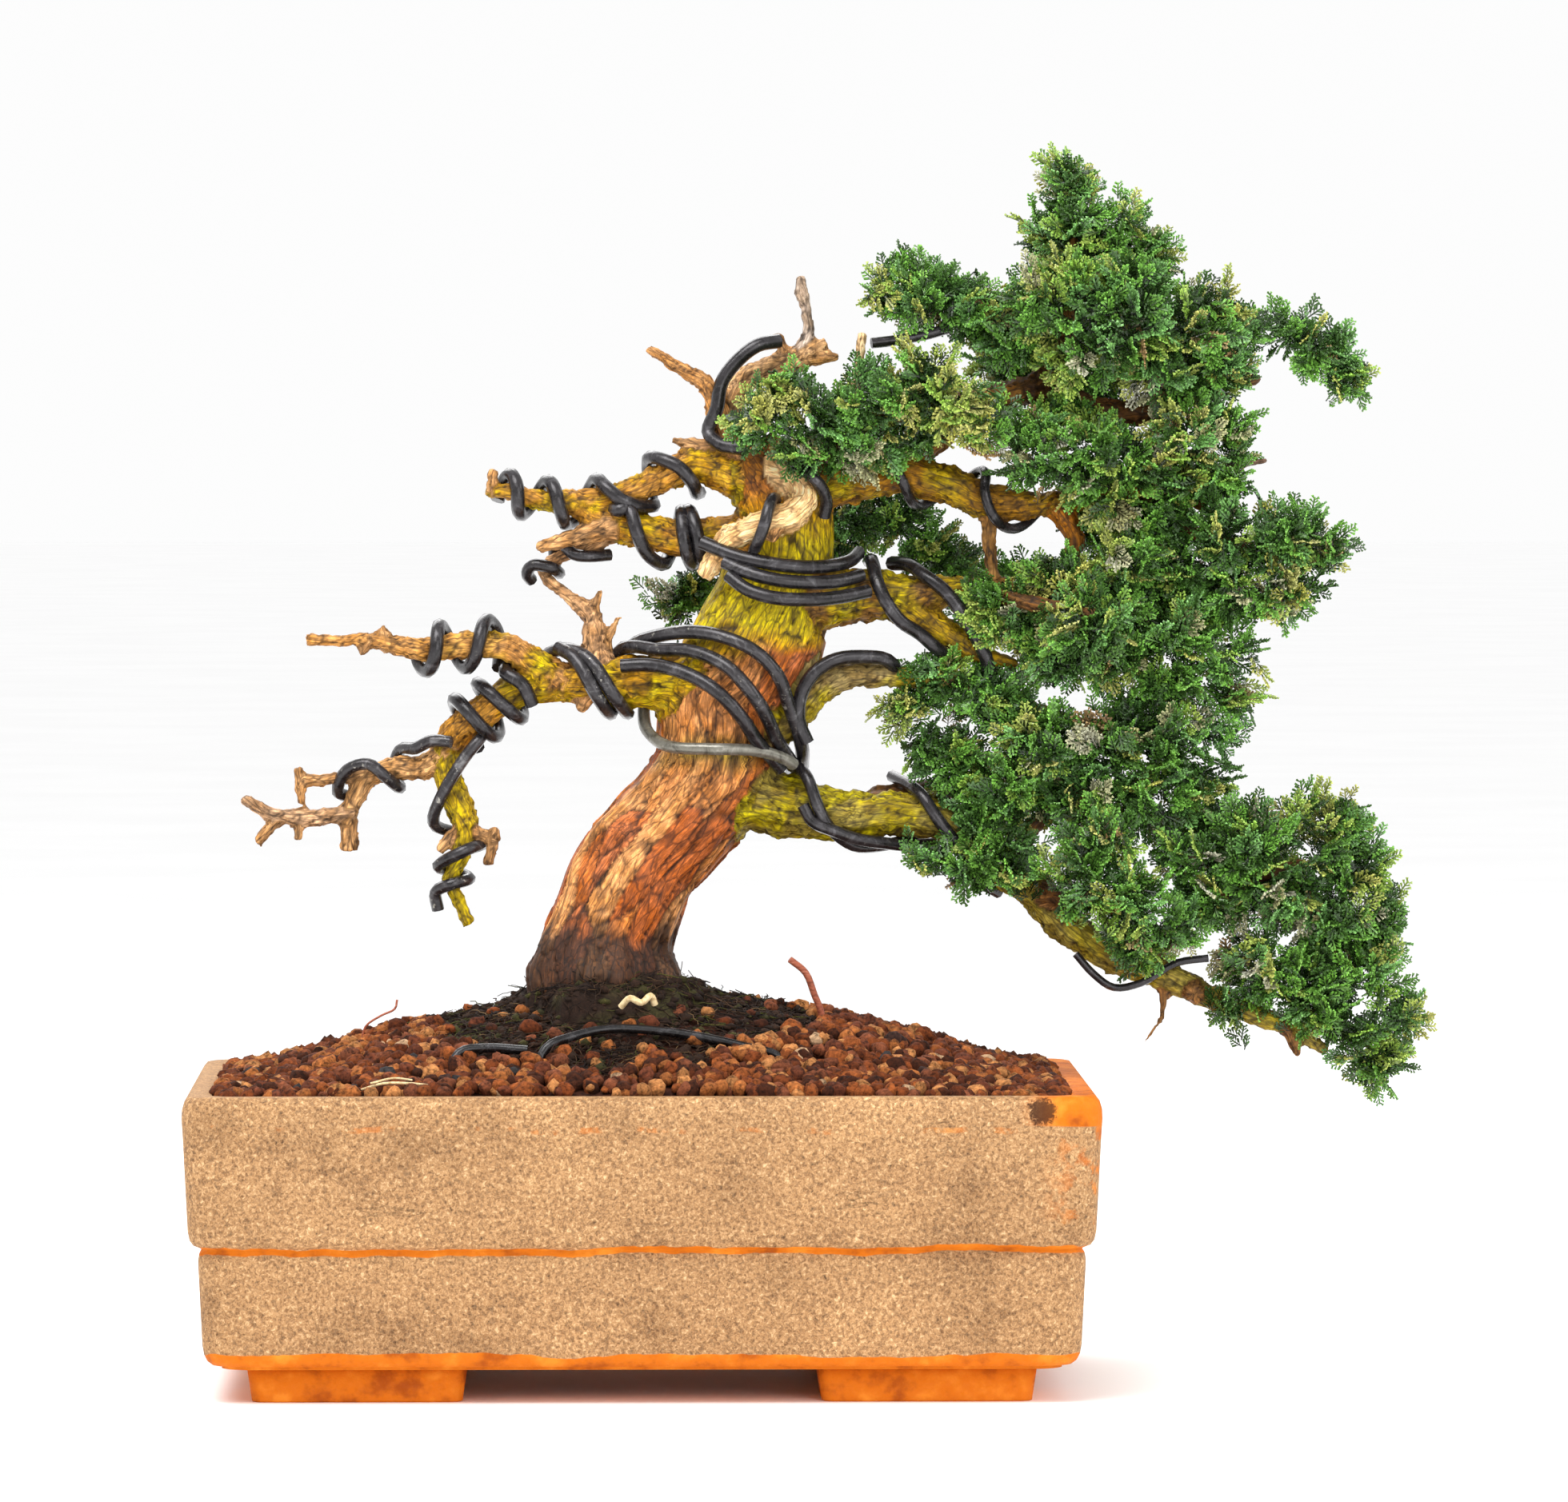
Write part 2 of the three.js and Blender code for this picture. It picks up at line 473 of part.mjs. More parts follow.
const pads = {
  foliage_apex: [
    [190, 0, 529, 13, 14, 17], [194, -2, 507, 20, 22, 18], [216, -4, 514, 10, 12, 13],
    [208, -8, 498, 16, 16, 13], [226, -4, 499, 14, 14, 10], [178, 6, 512, 12, 12, 11]],
  foliage_crown_left: [
    [112, -2, 484, 13, 14, 10], [130, -4, 480, 21, 20, 14], [152, 0, 476, 18, 20, 15],
    [142, 2, 500, 13, 12, 7], [160, 4, 500, 15, 14, 10], [168, 4, 512, 8, 9, 13],
    [122, 0, 492, 13, 12, 7], [166, -10, 460, 13, 14, 10]],
  foliage_crown_front: [
    [186, -22, 478, 24, 22, 22], [216, -24, 474, 24, 22, 26], [244, -18, 466, 24, 22, 20],
    [196, -22, 454, 19, 18, 14], [232, -14, 448, 20, 20, 14], [252, -12, 478, 15, 16, 10],
    [256, -10, 450, 17, 18, 13]],
  foliage_crown_back: [
    [186, 34, 478, 24, 24, 22], [214, 40, 468, 24, 26, 24], [168, 40, 452, 21, 20, 15],
    [204, 58, 450, 22, 18, 16], [238, 30, 458, 18, 20, 18], [200, 28, 500, 16, 16, 14]],
  foliage_crown_right: [
    [266, -6, 466, 15, 16, 10], [286, -8, 466, 18, 14, 8], [304, -8, 458, 15, 12, 8],
    [315, -8, 446, 9, 10, 10], [276, -2, 448, 15, 14, 10], [294, -2, 430, 15, 10, 6],
    [278, -2, 437, 14, 12, 8], [262, -4, 436, 14, 14, 14]],
  foliage_left_pad: [
    [52, -34, 427, 13, 12, 13], [64, -26, 440, 14, 12, 10], [80, -28, 425, 21, 18, 17],
    [104, -26, 433, 22, 20, 19], [98, -20, 413, 21, 18, 9], [124, -22, 430, 17, 18, 16],
    [70, -32, 414, 12, 12, 10]],
  foliage_left_fans: [
    [126, -44, 449, 14, 11, 12], [138, -48, 434, 17, 11, 12], [152, -48, 424, 12, 10, 12],
    [114, -46, 437, 12, 10, 9]],
  foliage_upper_middle: [
    [174, -14, 414, 20, 20, 16], [198, -18, 411, 21, 22, 19], [222, -14, 405, 19, 20, 18],
    [212, -8, 388, 16, 18, 11], [190, 2, 430, 14, 16, 8], [228, -10, 384, 16, 16, 12]],
  foliage_upper_right: [
    [244, -16, 420, 20, 18, 18], [259, -12, 404, 13, 16, 15], [238, -14, 401, 15, 16, 14],
    [260, -10, 424, 13, 14, 12]],
  foliage_middle_left: [
    [94, 30, 384, 15, 16, 14], [116, 34, 384, 20, 18, 13], [130, 36, 371, 12, 14, 11],
    [84, 32, 372, 12, 14, 10], [142, 34, 362, 12, 12, 9]],
  foliage_far_right: [
    [258, -16, 376, 21, 20, 16], [286, -14, 377, 22, 18, 13], [304, -12, 370, 13, 12, 9],
    [284, -10, 352, 19, 16, 15], [262, -10, 354, 18, 18, 15], [240, -14, 362, 15, 16, 15]],
  foliage_centre: [
    [160, -18, 342, 18, 18, 14], [186, -22, 350, 19, 20, 17], [212, -20, 346, 21, 20, 18],
    [240, -16, 332, 22, 20, 18], [206, -14, 322, 21, 20, 13], [264, -12, 316, 16, 16, 18],
    [196, -46, 336, 20, 14, 18], [216, -20, 366, 18, 18, 12], [236, -12, 310, 20, 18, 10],
    [182, -14, 324, 16, 18, 11]],
  foliage_inner_left: [
    [117, -12, 299, 11, 12, 10], [124, -14, 286, 13, 14, 13], [140, -14, 272, 15, 16, 15],
    [156, -12, 304, 18, 18, 12], [132, -12, 313, 17, 14, 9], [104, 8, 326, 20, 13, 9],
    [128, 6, 326, 17, 14, 8], [158, 10, 322, 18, 16, 10]],
  foliage_lower_middle: [
    [176, -19, 285, 20, 20, 16], [205, -18, 284, 21, 22, 18], [236, -16, 286, 22, 20, 18],
    [256, -12, 291, 12, 14, 14], [196, -16, 258, 22, 20, 17], [228, -16, 258, 21, 20, 17],
    [160, -20, 262, 17, 18, 15], [222, -12, 302, 14, 16, 7], [250, -12, 268, 14, 14, 12]],
  foliage_under_left: [
    [128, -26, 233, 14, 12, 6], [148, -26, 229, 15, 14, 11], [165, -26, 237, 14, 14, 16],
    [152, -24, 246, 12, 12, 9]],
  foliage_lower_front: [
    [194, -38, 226, 18, 14, 16], [216, -42, 212, 18, 14, 19], [222, -34, 194, 13, 12, 9],
    [204, -36, 242, 16, 14, 9], [238, -38, 204, 13, 12, 12]],
  foliage_tail_upper: [
    [246, -18, 236, 19, 20, 18], [268, -18, 241, 20, 20, 18], [298, -16, 244, 23, 20, 18],
    [316, -12, 226, 17, 18, 18], [282, -16, 218, 24, 20, 16], [313, -14, 206, 20, 18, 15],
    [254, -18, 214, 18, 18, 14], [312, -10, 250, 13, 14, 11], [330, -10, 204, 11, 12, 14]],
  foliage_tail_lower: [
    [272, -14, 184, 18, 18, 15], [298, -14, 179, 20, 18, 16], [322, -12, 177, 20, 18, 17],
    [338, -10, 163, 14, 14, 11], [318, -10, 154, 14, 14, 15], [330, -8, 141, 13, 12, 12],
    [300, -14, 163, 16, 14, 10], [262, -12, 169, 12, 12, 9]],
  foliage_back_tuft: [[12, 36, 347, 9, 9, 8], [25, 36, 351, 12, 10, 11], [18, 36, 340, 8, 8, 6]],
  foliage_back_middle: [
    [150, 58, 350, 19, 18, 16], [178, 62, 346, 20, 20, 18], [206, 60, 338, 20, 20, 17],
    [186, 56, 322, 20, 18, 13], [226, 40, 358, 22, 20, 20], [250, 24, 344, 18, 18, 16],
    [210, 46, 386, 20, 20, 16], [222, 42, 372, 16, 18, 10]],
  foliage_back_low: [
    [166, 46, 264, 17, 18, 15], [192, 50, 260, 21, 20, 18], [220, 46, 250, 21, 20, 18],
    [250, 34, 240, 20, 20, 18], [210, 44, 286, 20, 18, 14], [276, 26, 228, 20, 18, 18],
    [298, 20, 206, 18, 16, 18], [304, 18, 182, 16, 14, 14]],
};

const LUMP_SIDES = 6;
const LUMP_RINGS = 4;
const LUMP_WAVE = 0.08; // how far a lump's surface runs in and out
const WAVES_ACROSS = 5;
const WAVES_UP = 4;

// an uneven lump: a coarse ball with its vertices drawn in and out by a slow wave
function lump([x, y, z, halfWidth, halfDepth, halfHeight], extra = 0) {
  const geometry = new THREE.SphereGeometry(1, LUMP_SIDES, LUMP_RINGS);
  geometry.rotateX(Math.PI / 2);
  const position = geometry.attributes.position;
  const spot = new THREE.Vector3();
  for (let index = 0; index < position.count; index += 1) {
    spot.fromBufferAttribute(position, index);
    const across = Math.sin(WAVES_ACROSS * spot.x + x);
    const wave = 1 + LUMP_WAVE * across * Math.cos(WAVES_UP * spot.z + z);
    spot.multiplyScalar(wave);
    position.setXYZ(
      index,
      x + spot.x * (halfWidth + extra),
      y + spot.y * (halfDepth + extra),
      z + spot.z * (halfHeight + extra),
    );
  }
  return solidOf(geometry);
}

const finishes = {
  clay: { color: 0xa9835a, roughness: 0.85 },
  meshPlastic: { color: 0x202422, roughness: 0.6 },
  clipWire: { color: 0x8a8d90, roughness: 0.4, metalness: 1 },
  anchorWire: { color: 0x1c1a1a, roughness: 0.45, metalness: 1 },
  youngRoot: { color: 0x9a5238, roughness: 0.8 },
  matRoots: { color: 0x2e211b, roughness: 0.95 },
  granules: { color: 0x6e3521, roughness: 0.95 },
  bark: { color: 0xb5713f, roughness: 0.85 },
  blackWire: { color: 0x3a3638, roughness: 0.45, metalness: 1 },
  greyWire: { color: 0x77756a, roughness: 0.6, metalness: 1 },
  leaves: { color: 0x2f7a3e, roughness: 0.8 },
};

// ---- the pieces ------------------------------------------------------------------------------

const model = new THREE.Group();

function addPiece(name, solid, finish) {
  const { vertProperties, triVerts } = mainBody(solid.asOriginal().simplify(TIDY)).getMesh();
  const geometry = new THREE.BufferGeometry();
  geometry.setAttribute("position", new THREE.BufferAttribute(vertProperties, 3));
  geometry.setIndex(new THREE.BufferAttribute(triVerts, 1));
  geometry.computeVertexNormals();
  const mesh = new THREE.Mesh(geometry, new THREE.MeshStandardMaterial(finish));
  mesh.name = name;
  model.add(mesh);
}

const level = (z, inset, corner) => ({
  z,
  width: POT_WIDTH - 2 * inset,
  depth: POT_DEPTH - 2 * inset,
  corner,
});

function hole(x, y, radius, bottom, top) {
  const geometry = new THREE.CylinderGeometry(radius, radius, top - bottom, HOLE_SIDES);
  geometry.rotateX(Math.PI / 2);
  geometry.translate(x, y, (top + bottom) / 2);
  return solidOf(geometry);
}

const drainXs = [-DRAIN_X, DRAIN_X];
const tieHoles = [-1, 1].flatMap((side) => [-1, 1].map((face) => [
  side * TIE_HOLE_X, face * TIE_HOLE_Y]));

function cavity(inset) {
  const shrink = (width, depth, z) => ({
    z,
    width: width - 2 * inset,
    depth: depth - 2 * inset,
    corner: POT_CORNER / 2,
  });
  return loft([
    shrink(INNER_WIDTH - FLOOR_NARROWING, INNER_DEPTH - FLOOR_NARROWING, FLOOR_TOP + inset),
    shrink(INNER_WIDTH - STEP_NARROWING, INNER_DEPTH - STEP_NARROWING, STEP_HEIGHT),
    shrink(INNER_WIDTH, INNER_DEPTH, POT_HEIGHT - RIM_EDGE),
    shrink(INNER_WIDTH + MOUTH_WIDENING, INNER_DEPTH + MOUTH_WIDENING, POT_HEIGHT + MOUTH_REACH),
  ]);
}

function potSolid() {
  const lowerTop = BAND_TAPER + STEP_INSET;
  const lowerFoot = lowerTop + BAND_TAPER;
  const body = loft([
    level(FOOT_HEIGHT, lowerFoot, POT_CORNER),
    level(FOOT_HEIGHT + FOOT_EDGE, lowerFoot - FOOT_EDGE_INSET, POT_CORNER),
    level(STEP_HEIGHT - STEP_EDGE, lowerTop, POT_CORNER),
    level(STEP_HEIGHT, BAND_TAPER + STEP_EDGE, POT_CORNER),
    level(STEP_HEIGHT + 2 * STEP_EDGE, BAND_TAPER, POT_CORNER),
    level(POT_HEIGHT - RIM_EDGE, 0, POT_CORNER),
    level(POT_HEIGHT, RIM_INSET, POT_CORNER - RIM_INSET),
  ]);
  const feet = [-1, 1].flatMap((side) => [-1, 1].map((face) => loft([
    { z: 0, width: FOOT_WIDTH - 2 * FOOT_TAPER, depth: FOOT_DEPTH - 2 * FOOT_TAPER, corner: FOOT_CORNER },
    { z: FOOT_HEIGHT + CUT_REACH, width: FOOT_WIDTH, depth: FOOT_DEPTH, corner: FOOT_CORNER },
  ], side * FOOT_CENTRE_X, face * FOOT_CENTRE_Y)));
  const under = FOOT_HEIGHT - CUT_REACH;
  const over = FLOOR_TOP + CUT_REACH;
  const drains = drainXs.map((x) => hole(x, 0, DRAIN_RADIUS, under, over));
  const ties = tieHoles.map(([x, y]) => hole(x, y, TIE_HOLE_RADIUS, under, over));
  return joined([body, ...feet]).subtract(joined([cavity(0), ...drains, ...ties]));
}

function block(width, depth, height, x, y, z) {
  const geometry = new THREE.BoxGeometry(width, depth, height);
  geometry.translate(x, y, z);
  return solidOf(geometry);
}

function drainMesh(x) {
  const middle = FLOOR_TOP + GAP + MESH_THICKNESS / 2;
  const pitch = MESH_SIDE / (MESH_HOLES + 1);
  let sheet = block(MESH_SIDE, MESH_SIDE, MESH_THICKNESS, x, 0, middle);
  for (let row = 1; row <= MESH_HOLES; row += 1) {
    for (let column = 1; column <= MESH_HOLES; column += 1) {
      const holeX = x + column * pitch - MESH_SIDE / 2;
      const holeY = row * pitch - MESH_SIDE / 2;
      sheet = sheet.subtract(block(MESH_HOLE_SIDE, MESH_HOLE_SIDE, 2 * CUT_REACH + MESH_THICKNESS,
        holeX, holeY, middle));
    }
  }
  return sheet;
}

// a staple over the mesh, its legs down the drain hole and bent out under the floor
function meshClip(x) {
  const pitch = MESH_SIDE / (MESH_HOLES + 1);
  const row = pitch / 2;
  const leg = pitch + row;
  const over = FLOOR_TOP + GAP + MESH_THICKNESS + GAP + CLIP_RADIUS;
  const under = FOOT_HEIGHT - GAP - 2 * CLIP_RADIUS;
  const half = [
    [CLIP_FOOT, under], [CLIP_SHOULDER, under], [0, under + CLIP_BEND],
    [0, over - CLIP_SHOULDER], [-CLIP_SHOULDER, over],
  ];
  const left = half.map(([out, z]) => [x - leg - out, row, z]);
  const right = half.map(([out, z]) => [x + leg + out, row, z]).reverse();
  return tube(freePath(...left, ...right), CLIP_RADIUS, CLIP_STEPS);
}

// each anchor wire hooks under the floor, rises through a tie hole and comes up through the soil
const anchorFoot = (x) => [
  [x + Math.sign(-x) * 14, -TIE_HOLE_Y, 11], [x + Math.sign(-x) * 5, -TIE_HOLE_Y, 11.5],
  [x, -TIE_HOLE_Y, 16], [x, -TIE_HOLE_Y, 24], [x, -TIE_HOLE_Y, 34], [x, -TIE_HOLE_Y - 4, 46],
];
const anchorPaths = {
  anchor_wire_long: freePath(
    ...anchorFoot(-TIE_HOLE_X), [-48, -78, 84], [-46, -88, 136], [-42, -87, 152], [-30, -82, 157],
    [-14, -77, 160], [8, -76, 159], [28, -77, 156], [46, -79, 152], [60, -81, 148], [66, -80, 138]),
  anchor_wire_short: freePath(
    ...anchorFoot(TIE_HOLE_X), [14, -84, 66], [-60, -98, 100], [-84, -92, 136], [-80, -86, 150],
    [-68, -84, 152], [-50, -85, 151]),
};
const rootBallLumps = [
  [-10, -6, 128, 64, 66, 54], [26, 2, 124, 40, 48, 46], [-50, 4, 122, 36, 46, 46],
];
const rootPath = freePath([80, -20, 150], [80, -24, 164], [77, -26, 172], [73, -28, 182], [66, -30, 188]);

// the heaped soil before its hollows are cut
function soilHeap() {
  const top = SOIL_EDGE + SOIL_RISE;
  const geometry = new THREE.BoxGeometry(
    POT_WIDTH, POT_DEPTH, top - FLOOR_TOP, SOIL_CELLS_X, SOIL_CELLS_Y, 1);
  geometry.translate(0, 0, (top + FLOOR_TOP) / 2);
  const position = geometry.attributes.position;
  for (let index = 0; index < position.count; index += 1) {
    if (position.getZ(index) > FLOOR_TOP + CUT_REACH) {
      const acrossShare = Math.min(1, (2 * Math.abs(position.getX(index))) / INNER_WIDTH);
      const depthShare = Math.min(1, (2 * Math.abs(position.getY(index))) / INNER_DEPTH);
      const heap = (1 - acrossShare ** HEAP_CURVE_X) * (1 - depthShare ** HEAP_CURVE_Y);
      position.setZ(index, SOIL_EDGE + SOIL_RISE * heap);
    }
  }
  return solidOf(geometry).intersect(cavity(GAP));
}

const POCKET_SIDE = MESH_SIDE + 2 * GAP;
const pocket = (x) => block(POCKET_SIDE, POCKET_SIDE, POCKET_HEIGHT, x, 0, FLOOR_TOP);

const wood = woodSolid();
const woodRoom = woodSolid(GAP);
const rootBall = joined(rootBallLumps.map((one) => lump(one))).subtract(woodRoom);
const rootBallRoom = joined(rootBallLumps.map((one) => lump(one, GAP)));
const anchors = Object.entries(anchorPaths).map(([name, path]) => [
  name, tube(path, ANCHOR_RADIUS, ANCHOR_STEPS), tube(path, ANCHOR_RADIUS, ANCHOR_STEPS, GAP)]);
const anchorRoom = joined(anchors.map(([, , room]) => room));
const strayRoot = tube(rootPath, ROOT_RADIUS, ROOT_STEPS);
const strayRootRoom = tube(rootPath, ROOT_RADIUS, ROOT_STEPS, GAP);

addPiece("pot", potSolid(), finishes.clay);
drainXs.forEach((x, index) => {
  const side = index === 0 ? "left" : "right";
  addPiece(`drain_mesh_${side}`, drainMesh(x), finishes.meshPlastic);
  addPiece(`mesh_clip_${side}`, meshClip(x), finishes.clipWire);
});
anchors.forEach(([name, solid]) => addPiece(name, solid, finishes.anchorWire));
addPiece("stray_root", strayRoot, finishes.youngRoot);
addPiece("root_ball", mainBody(rootBall.subtract(anchorRoom.add(strayRootRoom))), finishes.matRoots);
const trunkRoom = limbSolid(trunk, TRUNK_SIDES, GAP, trunkSwell);
const hollows = joined([rootBallRoom, trunkRoom, anchorRoom, strayRootRoom, ...drainXs.map(pocket)]);
addPiece("soil", mainBody(soilHeap().subtract(hollows)), finishes.granules);
addPiece("trunk_and_branches", wood, finishes.bark);

// each wire lies on the bark and makes way for the wires laid before it
let taken = woodRoom;
let wireRoom = null;
Object.entries(wires).forEach(([name, [radius, path]]) => {
  const laid = liftedFromWood(path, radius);
  const steps = laid.length;
  const whole = tube(laid, radius, steps);
  const clear = mainBody(whole.subtract(wireRoom ? woodRoom.add(wireRoom) : woodRoom));
  const room = tube(laid, radius, steps, GAP);
  wireRoom = wireRoom ? wireRoom.add(room) : room;
  addPiece(name, clear, name === "wire_grey_band" ? finishes.greyWire : finishes.blackWire);
});
taken = taken.add(wireRoom);

// each pad wraps its twigs and keeps clear of the pads before it
Object.entries(pads).forEach(([name, lumps]) => {
  const cluster = joined(lumps.map((one) => lump(one)));
  addPiece(name, mainBody(cluster.subtract(taken)), finishes.leaves);
  taken = taken.add(joined(lumps.map((one) => lump(one, GAP))));
});

// the origin is the middle of the whole part's footprint, on the surface that it stands on
const bounds = new THREE.Box3().setFromObject(model);
const footprint = bounds.getCenter(new THREE.Vector3());
model.children.forEach((mesh) => mesh.position.set(-footprint.x, -footprint.y, -bounds.min.z));

export default model;
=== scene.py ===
# %% [markdown]
# # A windswept bonsai in a clay pot
# The tree is a dwarf conifer that was styled with training wire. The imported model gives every
# piece's place, and each piece is rebuilt here with the surface that the real one has.

# %% Load the model as a fixed frame
import math

import bmesh
import bpy
import numpy as np
from mathutils import Matrix, Vector, noise
from mathutils.bvhtree import BVHTree


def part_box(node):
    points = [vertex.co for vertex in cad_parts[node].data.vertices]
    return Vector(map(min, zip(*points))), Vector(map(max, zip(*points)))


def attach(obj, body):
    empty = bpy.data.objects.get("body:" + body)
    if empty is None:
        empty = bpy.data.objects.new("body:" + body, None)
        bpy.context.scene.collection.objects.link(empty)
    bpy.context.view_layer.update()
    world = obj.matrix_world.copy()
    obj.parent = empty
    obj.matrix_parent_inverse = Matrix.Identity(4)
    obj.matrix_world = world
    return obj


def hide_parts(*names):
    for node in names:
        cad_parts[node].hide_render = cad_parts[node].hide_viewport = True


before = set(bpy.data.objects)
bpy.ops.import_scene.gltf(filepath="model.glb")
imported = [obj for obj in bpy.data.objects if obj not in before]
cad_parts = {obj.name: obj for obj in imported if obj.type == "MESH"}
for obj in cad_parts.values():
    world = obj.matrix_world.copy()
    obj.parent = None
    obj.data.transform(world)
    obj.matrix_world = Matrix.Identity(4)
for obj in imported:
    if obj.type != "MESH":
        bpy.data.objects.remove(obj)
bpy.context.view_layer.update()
MM = 0.001
pot_low, pot_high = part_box("pot")
POT_MIDDLE_X = (pot_low.x + pot_high.x) / 2
POT_MIDDLE_Y = (pot_low.y + pot_high.y) / 2


def place(x, y, z):
    """A point given in millimetres about the pot's middle, in the frame's metres."""
    return Vector((POT_MIDDLE_X + x * MM, POT_MIDDLE_Y + y * MM, z * MM))


# %% [markdown]
# ## Camera
# A long lens from nearly five metres, a little above the rim, turned to face the tree. The
# whole picture is framed by turning the camera, with no lens shift.

# %% Camera
CAMERA_AT = (-30, -4885, 433)
TURN_RIGHT = 1.102
TILT_DOWN = 1.80
LENS = 252

camera = bpy.data.objects.new("camera", bpy.data.cameras.new("camera"))
camera.data.lens = LENS
camera.data.sensor_width = 36
camera.data.clip_end = 100
camera.location = place(*CAMERA_AT)
camera.rotation_euler = (math.radians(90 - TILT_DOWN), 0, math.radians(-TURN_RIGHT))
bpy.context.scene.collection.objects.link(camera)
bpy.context.scene.camera = camera
bpy.context.scene.view_settings.view_transform = "Standard"
print("camera at", [round(v, 3) for v in camera.location])

# %% [markdown]
# ## Floor and light
# A pale sweep with broad soft lights: one large panel above and to the left, one in front to
# open the shadows, and a bright even surround that keeps the background clean.

# %% Helpers for materials
def linear(hex_colour):
    """An sRGB hex colour as linear red, green, blue and alpha."""
    values = [int(hex_colour[i:i + 2], 16) / 255 for i in (1, 3, 5)]
    return [v / 12.92 if v <= 0.04045 else ((v + 0.055) / 1.055) ** 2.4 for v in values] + [1]


def new_material(name):
    material = bpy.data.materials.new(name)
    material.use_nodes = True
    return material, material.node_tree.nodes["Principled BSDF"]


def add_node(material, kind, links=(), **settings):
    """Adds a node. settings are properties, or inputs when the name is an input's; links are
    (input name or number, output socket) pairs."""
    node = material.node_tree.nodes.new(kind)
    for key, value in settings.items():
        if hasattr(node, key):
            setattr(node, key, value)
        else:
            node.inputs[key.replace("_", " ")].default_value = value
    for where, source in links:
        material.node_tree.links.new(source, node.inputs[where])
    return node


def link(material, source, target):
    material.node_tree.links.new(source, target)


def colour_steps(material, source, *stops, smooth=True):
    """A colour ramp: stops are (position, hex colour) pairs."""
    ramp = add_node(material, "ShaderNodeValToRGB", [("Fac", source)])
    elements = ramp.color_ramp.elements
    while len(elements) > 1:
        elements.remove(elements[-1])
    elements[0].position = stops[0][0]
    elements[0].color = linear(stops[0][1])
    for position, hex_colour in stops[1:]:
        elements.new(position).color = linear(hex_colour)
    ramp.color_ramp.interpolation = "EASE" if smooth else "LINEAR"
    return ramp.outputs["Color"]


def blend_colours(material, factor, first, second, mode="MIX"):
    """Mixes two colours; factor is a socket or a number."""
    node = add_node(material, "ShaderNodeMix", data_type="RGBA", blend_type=mode)
    for number, value in ((0, factor), (6, first), (7, second)):
        if isinstance(value, (int, float)):
            node.inputs[number].default_value = value
        elif isinstance(value, (list, tuple)):
            node.inputs[number].default_value = value
        else:
            link(material, value, node.inputs[number])
    return node.outputs[2]


def sums(material, kind, first, second=0.0):
    """One arithmetic step on sockets or numbers."""
    node = add_node(material, "ShaderNodeMath", operation=kind)
    for number, value in ((0, first), (1, second)):
        if isinstance(value, (int, float)):
            node.inputs[number].default_value = value
        else:
            link(material, value, node.inputs[number])
    return node.outputs[0]


def object_point(material):
    return add_node(material, "ShaderNodeTexCoord").outputs["Object"]


def stretched(material, source, scale, turn=(0, 0, 0)):
    node = add_node(material, "ShaderNodeMapping", [("Vector", source)])
    node.inputs["Scale"].default_value = scale
    node.inputs["Rotation"].default_value = turn
    return node.outputs["Vector"]


def cloudy(material, source, size_mm, detail=4, roughness=0.55, distortion=0.0):
    """Noise whose blobs are about size_mm across."""
    node = add_node(material, "ShaderNodeTexNoise", [("Vector", source)])
    node.inputs["Scale"].default_value = 1 / (size_mm * MM)
    node.inputs["Detail"].default_value = detail
    node.inputs["Roughness"].default_value = roughness
    node.inputs["Distortion"].default_value = distortion
    return node.outputs["Fac"]


def cells(material, source, size_mm, feature="F1"):
    node = add_node(material, "ShaderNodeTexVoronoi", [("Vector", source)], feature=feature)
    node.inputs["Scale"].default_value = 1 / (size_mm * MM)
    return node


def relief(material, shader, height, depth_mm, strength=1.0, base=None):
    """A bump map of a height between 0 and 1, depth_mm deep."""
    links = [("Height", height)] + ([("Normal", base)] if base else [])
    bump = add_node(material, "ShaderNodeBump", links)
    bump.inputs["Distance"].default_value = depth_mm * MM
    bump.inputs["Strength"].default_value = strength
    link(material, bump.outputs["Normal"], shader.inputs["Normal"])
    return bump.outputs["Normal"]


# %% Floor, surround and lights
def studio_floor():
    material, shader = new_material("matt_white_paper_sweep")
    point = object_point(material)
    tone = colour_steps(material, cloudy(material, point, 260, 3), (0.3, "#FCFCFC"), (0.7, "#FFFFFF"))
    link(material, tone, shader.inputs["Base Color"])
    shader.inputs["Roughness"].default_value = 0.55
    relief(material, shader, cloudy(material, point, 3), 0.1, 0.15)
    mesh = bmesh.new()
    bmesh.ops.create_grid(mesh, x_segments=1, y_segments=1, size=30)
    data = bpy.data.meshes.new("studio_floor")
    mesh.to_mesh(data)
    mesh.free()
    data.materials.append(material)
    floor = bpy.data.objects.new("studio_floor", data)
    bpy.context.scene.collection.objects.link(floor)
    return floor


def soft_panel(name, at, aim, size, power, colour="#FFFFFF"):
    light = bpy.data.objects.new(name, bpy.data.lights.new(name, "AREA"))
    light.data.shape = "RECTANGLE"
    light.data.size, light.data.size_y = size
    light.data.energy = power
    light.data.color = linear(colour)[:3]
    light.location = at
    light.rotation_euler = (Vector(aim) - Vector(at)).to_track_quat("-Z", "Y").to_euler()
    bpy.context.scene.collection.objects.link(light)


